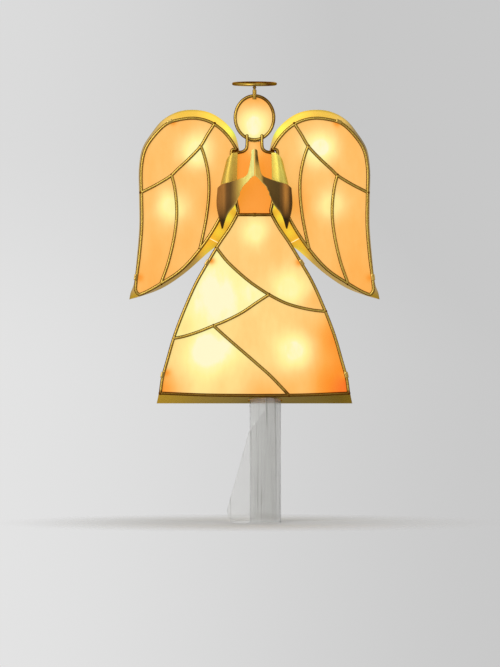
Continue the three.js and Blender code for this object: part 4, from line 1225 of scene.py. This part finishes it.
def armMaterial(name, bands, metallic):
    # Rolled sheet: painted light and shade in bands across the arms, a painted highlight on the lower edge,
    # and painted shade in the fold between the hands and at the sleeves' points.
    material, at = newMaterial(name)
    reach = armGold["reach"]
    across = axes(at)["X"]
    stops = [((x + reach) / (2 * reach), *colour) for x, *colour in bands]
    # painted light and shade in bands across the arms
    paintedBands = ramp(remapped(across, -reach * mm, reach * mm, change="LINEAR"), stops)
    # painted highlight along the lower edge
    paintedBands = mixed(times(ridgeOf(at), armGold["edgeHighlightShare"]), paintedBands, armGold["edge"])
    # painted shade between the hands and at the sleeves' points
    shade = times(summedGlow(at, armGold["shades"]), remapped(across, 0.0, mm))
    shade = maths("MAXIMUM", shade, summedGlow(at, armGold["tips"]))
    paintedBands = mixed(shade, paintedBands, armGold["shaded"])
    metal = fromGroup(agedMetal, at, paintedBands, vector("SCALE", paintedBands, armGold["dull"]), *armGold["metal"])
    return finished(material, {
        "Metallic": metallic, "Specular Tint": gold["edge"],
        "Base Color": metal["Color"], "Roughness": metal["Roughness"],
    }, metal["Height"], *armGold["bump"])


wireTint = {
    "rubbedHighlight": tint(218, 186, 90),
    "front": (0.6, 0.97),  # how far ahead it faces where the rubbing and painted highlight start and are full
    "worn": tint(188, 150, 62),
    "patinaAndShade": tint(104, 58, 8),
    "edge": (0.8, 0.58, 0.24, 1.0),
    # Painted shade at the waist, the shoulders, the head and the halo: (x, z, reach, amount)
    "darkened": [
        (-9, 291, 9, 0.8), (9, 291, 9, 0.8), (-14, 350, 6, 0.8), (14, 350, 6, 0.8), (9, 400, 7, 0.7),
        (17, 390, 7, 0.6), (19, 378, 5, 0.5), (-9, 400, 5, 0.4), (13, 413, 5, 0.8), (-18, 413, 4, 0.35),
        (0, 411, 2, 0.6),
    ],
    "hem": (123.5, 126.5, 0.7),  # heights where the hem wire's darkening starts and ends, and its amount
    "metal": (0.5, 0.03, 0.002, 0.3, 0.44),
    "bump": (0.25 * mm, 0.06),
}


def wireMaterial():
    # Round wire: rubbed bright along its front with a painted highlight there, brown patina with painted
    # shade at its sides.
    material, at = newMaterial("rubbed wire")
    metal = fromGroup(agedMetal, at, wireTint["rubbedHighlight"], wireTint["worn"], *wireTint["metal"])
    low, high, amount = wireTint["hem"]
    hem = remapped(axes(at)["Z"], low * mm, high * mm, amount, 0.0)
    # painted shade in stretches, and darker along the hem wire
    darkened = maths("MAXIMUM", summedGlow(at, wireTint["darkened"]), hem)
    rubbedHighlight = maths("SUBTRACT", remapped(ridgeOf(at), *wireTint["front"]), darkened, clamp=True)
    # painted highlight with rubbing on the wire's front, painted shade with patina at its sides
    return finished(material, {
        "Metallic": 1.0, "Specular Tint": wireTint["edge"], "Roughness": metal["Roughness"],
        "Base Color": mixed(rubbedHighlight, wireTint["patinaAndShade"], metal["Color"]),
    }, metal["Height"], *wireTint["bump"])


plastic = {
    "mottle": (0.008, 1.0, 0.4),
    "grain": 625.0,
    "bump": (0.08 * mm, 0.3),
    # Every kind: light and dark of its mottle, and its roughness
    "ivory holder": (tint(236, 229, 212), tint(222, 212, 190), (0.35, 0.5)),
    "lead jacket": (tint(238, 231, 214), tint(224, 214, 192), (0.35, 0.5)),
    "guide ring plastic": (tint(232, 232, 228), tint(214, 214, 208), (0.35, 0.5)),
    "grommet rubber": (tint(66, 62, 58), tint(48, 45, 42), (0.6, 0.8)),
}


def plasticMaterial(name):
    # Moulded plastic: a faint mottle and a fine grain.
    light, dark, rough = plastic[name]
    material, at = newMaterial(name)
    fine = noise(at, plastic["grain"], 3.0)
    return finished(material, {
        "Specular IOR Level": 0.45, "Roughness": spread(fine, *rough),
        "Base Color": mixed(fromGroup(clouds, at, *plastic["mottle"])["Value"], dark, light),
    }, fine, *plastic["bump"])


glass = {
    "mottle": (0.003, 1.0, 0.2),
    "colours": (tint(250, 236, 200), tint(255, 250, 235)),
    "glow": (tint(255, 216, 140), tint(255, 242, 200)),
    "strength": 3.0,
}


def bulbMaterial():
    # Lamp glass lit from inside: its colour and its glow are mottled alike.
    material, at = newMaterial("lamp glass")
    mottle = fromGroup(clouds, at, *glass["mottle"])["Value"]
    return finished(material, {
        "Roughness": 0.08, "Base Color": mixed(mottle, *glass["colours"]),
        "Emission Color": mixed(mottle, *glass["glow"]), "Emission Strength": glass["strength"],
    })


clear = {
    "sheet": (0.93, 0.93, 0.92, 1.0),
    "line": (0.6, 0.6, 0.58, 1.0),
    "lines": (0.6, 0.68),  # where the noise turns into a dark line
    "lineScale": 420.0,
    "stretch": (1, 1, 0.02),  # of the noise's scale, so that its lines stand upright
    "transmission": 0.9,
    "roughness": (0.06, 0.2),
    "haze": (0.02, 3.0, 0.3),
    "bump": (0.1 * mm, 0.3),
}


def clearMaterial():
    # Clear sheet with a milky haze and upright drawing lines, some of them darker.
    material, at = newMaterial("clear sheet")
    lines = noise(vector("MULTIPLY", at, clear["stretch"]), clear["lineScale"], 3.0)
    dark = remapped(lines, *clear["lines"])
    return finished(material, {
        "Metallic": 0.0, "Transmission Weight": clear["transmission"], "IOR": 1.46,
        "Base Color": mixed(dark, clear["sheet"], clear["line"]),
        "Roughness": spread(fromGroup(clouds, at, *clear["haze"])["Value"], *clear["roughness"]),
    }, lines, *clear["bump"])


def besideTabs(line, places):
    # Places just inside the straps on the left.
    return [line[int(place * stock["perSpan"])] + (pane["strapShadowInset"], 0) for place in places]


def dressUp():
    # Every piece and every carried-over node gets its finish.
    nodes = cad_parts
    dressTabs = besideTabs(dressLine, body["tabs"])
    wingTabs = besideTabs(wingEdge, wing["tabs"])
    beside = {"left": wingTabs, "right": mirrored(wingTabs)}
    for name, looks in pane["panes"].items():
        if name in bothSides:
            panes = [f"wing_pane_{number:02d}_{name}" for number in range(1, 5)]
        else:
            panes = [name]
            beside[name] = joined(dressTabs, mirrored(dressTabs)) if name.startswith("dress") else []
        give(paneMaterial(name, *looks, beside[name]), [nodes[each] for each in panes])
    give(trayMaterial(), trays + tabs)
    give(armMaterial("forearm gold", armGold["forearm"], 0.15), forearms)
    give(armMaterial("upper arm gold", armGold["upperArm"], 0.7), upperArms)
    give(wireMaterial(), [bodyFrame, *wingFrames, headRing, *haloParts, *rivets])
    rings = [nodes["sleeve_ring_lower"], nodes["sleeve_ring_upper"]]
    give(plasticMaterial("ivory holder"), sockets)
    give(plasticMaterial("lead jacket"), [lead])
    give(plasticMaterial("guide ring plastic"), rings)
    give(plasticMaterial("grommet rubber"), [grommet])
    give(bulbMaterial(), bulbs)
    give(clearMaterial(), [sleevePiece])


dressUp()
print("materials ready")


# Stage: a pale floor that fades out, soft lamps, a pale surround and the camera

stage = {
    "wallLeft": tint(228, 228, 228),
    "wallRight": tint(200, 200, 200),
    "light": (1, 0.99, 0.97, 1),  # what falls on the object from all round, with its strength
    "surround": 0.5,
    "front": 0.55,  # share of the surround that gloss shows from the side of the viewer
    "floorColour": (0.72, 0.72, 0.72, 1),
    "floorRadius": 0.9,
    "floorFade": (0.06, 0.26),
    "distance": 5.0,
    "pixel": 0.941 * mm,  # size of a pixel of the photograph at the angel
    "axis": (254.5, 523),  # pixel of the angel's middle at its lowest point
    "frameSize": (500, 667),
    "aim": (0, 0, 0.25),
    "sideFade": (-0.06, 0.06),  # shares of the way looked along, where the surround changes
    "upperFade": (-0.01, 0.04, 0.0, 0.3),
    "glossFade": (-0.5, 0.3),
}
softLamps = [
    # name, place, size, power, colour
    ("key", (-1.4, -2.6, 1.2), 2.0, 44, (1.0, 0.98, 0.95)),
    ("fill", (2.2, -1.6, 0.9), 1.6, 9, (1.0, 0.97, 0.93)),
    ("rim", (0.0, 2.1, 1.7), 1.8, 9, (1.0, 0.97, 0.9)),
]


def makeWorld():
    # Pale surround, lighter to the left. A camera and clear sheet see it as it is; gloss sees it
    # dimmer on the viewer's side; the light on the object is its own strength.
    world = bpy.data.worlds.new("surround")
    bpy.context.scene.world = world
    world.use_nodes = True
    tree = world.node_tree
    tree.nodes.clear()
    way = axes(node("TexCoord", {}, tree)["Generated"])
    side = remapped(way["X"], *stage["sideFade"])
    upper = remapped(way["Z"], *stage["upperFade"])
    wall = mixed(maths("ADD", side, upper, clamp=True), stage["wallLeft"], stage["wallRight"])
    towards = remapped(way["Y"], *stage["glossFade"], stage["front"])
    shown, reflected, falling = (
        node("Background", {"Color": colour, "Strength": strength}, tree)[0]
        for colour, strength in ((wall, 1.0), (wall, towards), (stage["light"], stage["surround"])))
    path = node("LightPath", {}, tree)
    straight = maths("ADD", path["Is Camera Ray"], path["Is Transmission Ray"], clamp=True)
    gloss = node("MixShader", {0: path["Is Glossy Ray"], 1: falling, 2: reflected})[0]
    both = node("MixShader", {0: straight, 1: gloss, 2: shown})[0]
    node("OutputWorld", {"Surface": both})


def makeFloor():
    # Disc of rings whose cover fades with the distance from the object.
    radius, turn = np.linspace(0, stage["floorRadius"], 24)[:, None], turnSteps(96)
    rings = pointsOf(radius * np.cos(turn), radius * np.sin(turn), 0)
    points, faces, _ = gridSurface(rings, wrapColumns=True)
    mesh = bpy.data.meshes.new("floor")
    mesh.from_pydata(points.tolist(), [], faces)
    floor = newObject("floor", mesh)
    material, at = newMaterial("pale floor")
    cover = remapped(vector("LENGTH", at), *stage["floorFade"], 1.0, 0.0)
    give(finished(material, {
        "Base Color": stage["floorColour"], "Roughness": 0.9, "Specular IOR Level": 0.1, "Alpha": cover,
    }), [floor])


def makeLamps():
    # Each looks at the aim: its -Z points along the way there.
    for name, at, size, power, colour in softLamps:
        data = bpy.data.lights.new(name, "AREA")
        data.size, data.energy, data.color = size, power, colour
        lamp = newObject(name, data)
        lamp.location = at
        x, y, z = np.subtract(stage["aim"], at)
        lamp.rotation_euler = np.arctan2(np.hypot(x, y), -z), 0, np.arctan2(-x, y)


def makeCamera():
    width, height = stage["frameSize"]
    data = bpy.data.cameras.new("camera")
    data.sensor_width = 36
    data.lens = data.sensor_width * stage["distance"] / (height * stage["pixel"])
    camera = newObject("camera", data)
    across = (width / 2 - stage["axis"][0]) * stage["pixel"]
    up = (stage["axis"][1] - height / 2) * stage["pixel"]
    camera.location = (across, bodyPlane - stage["distance"], up)
    camera.rotation_euler = (np.pi / 2, 0, 0)
    bpy.context.scene.camera = camera


makeWorld()
makeFloor()
makeLamps()
makeCamera()
bpy.context.scene.view_settings.view_transform = "Standard"
print("stage ready")
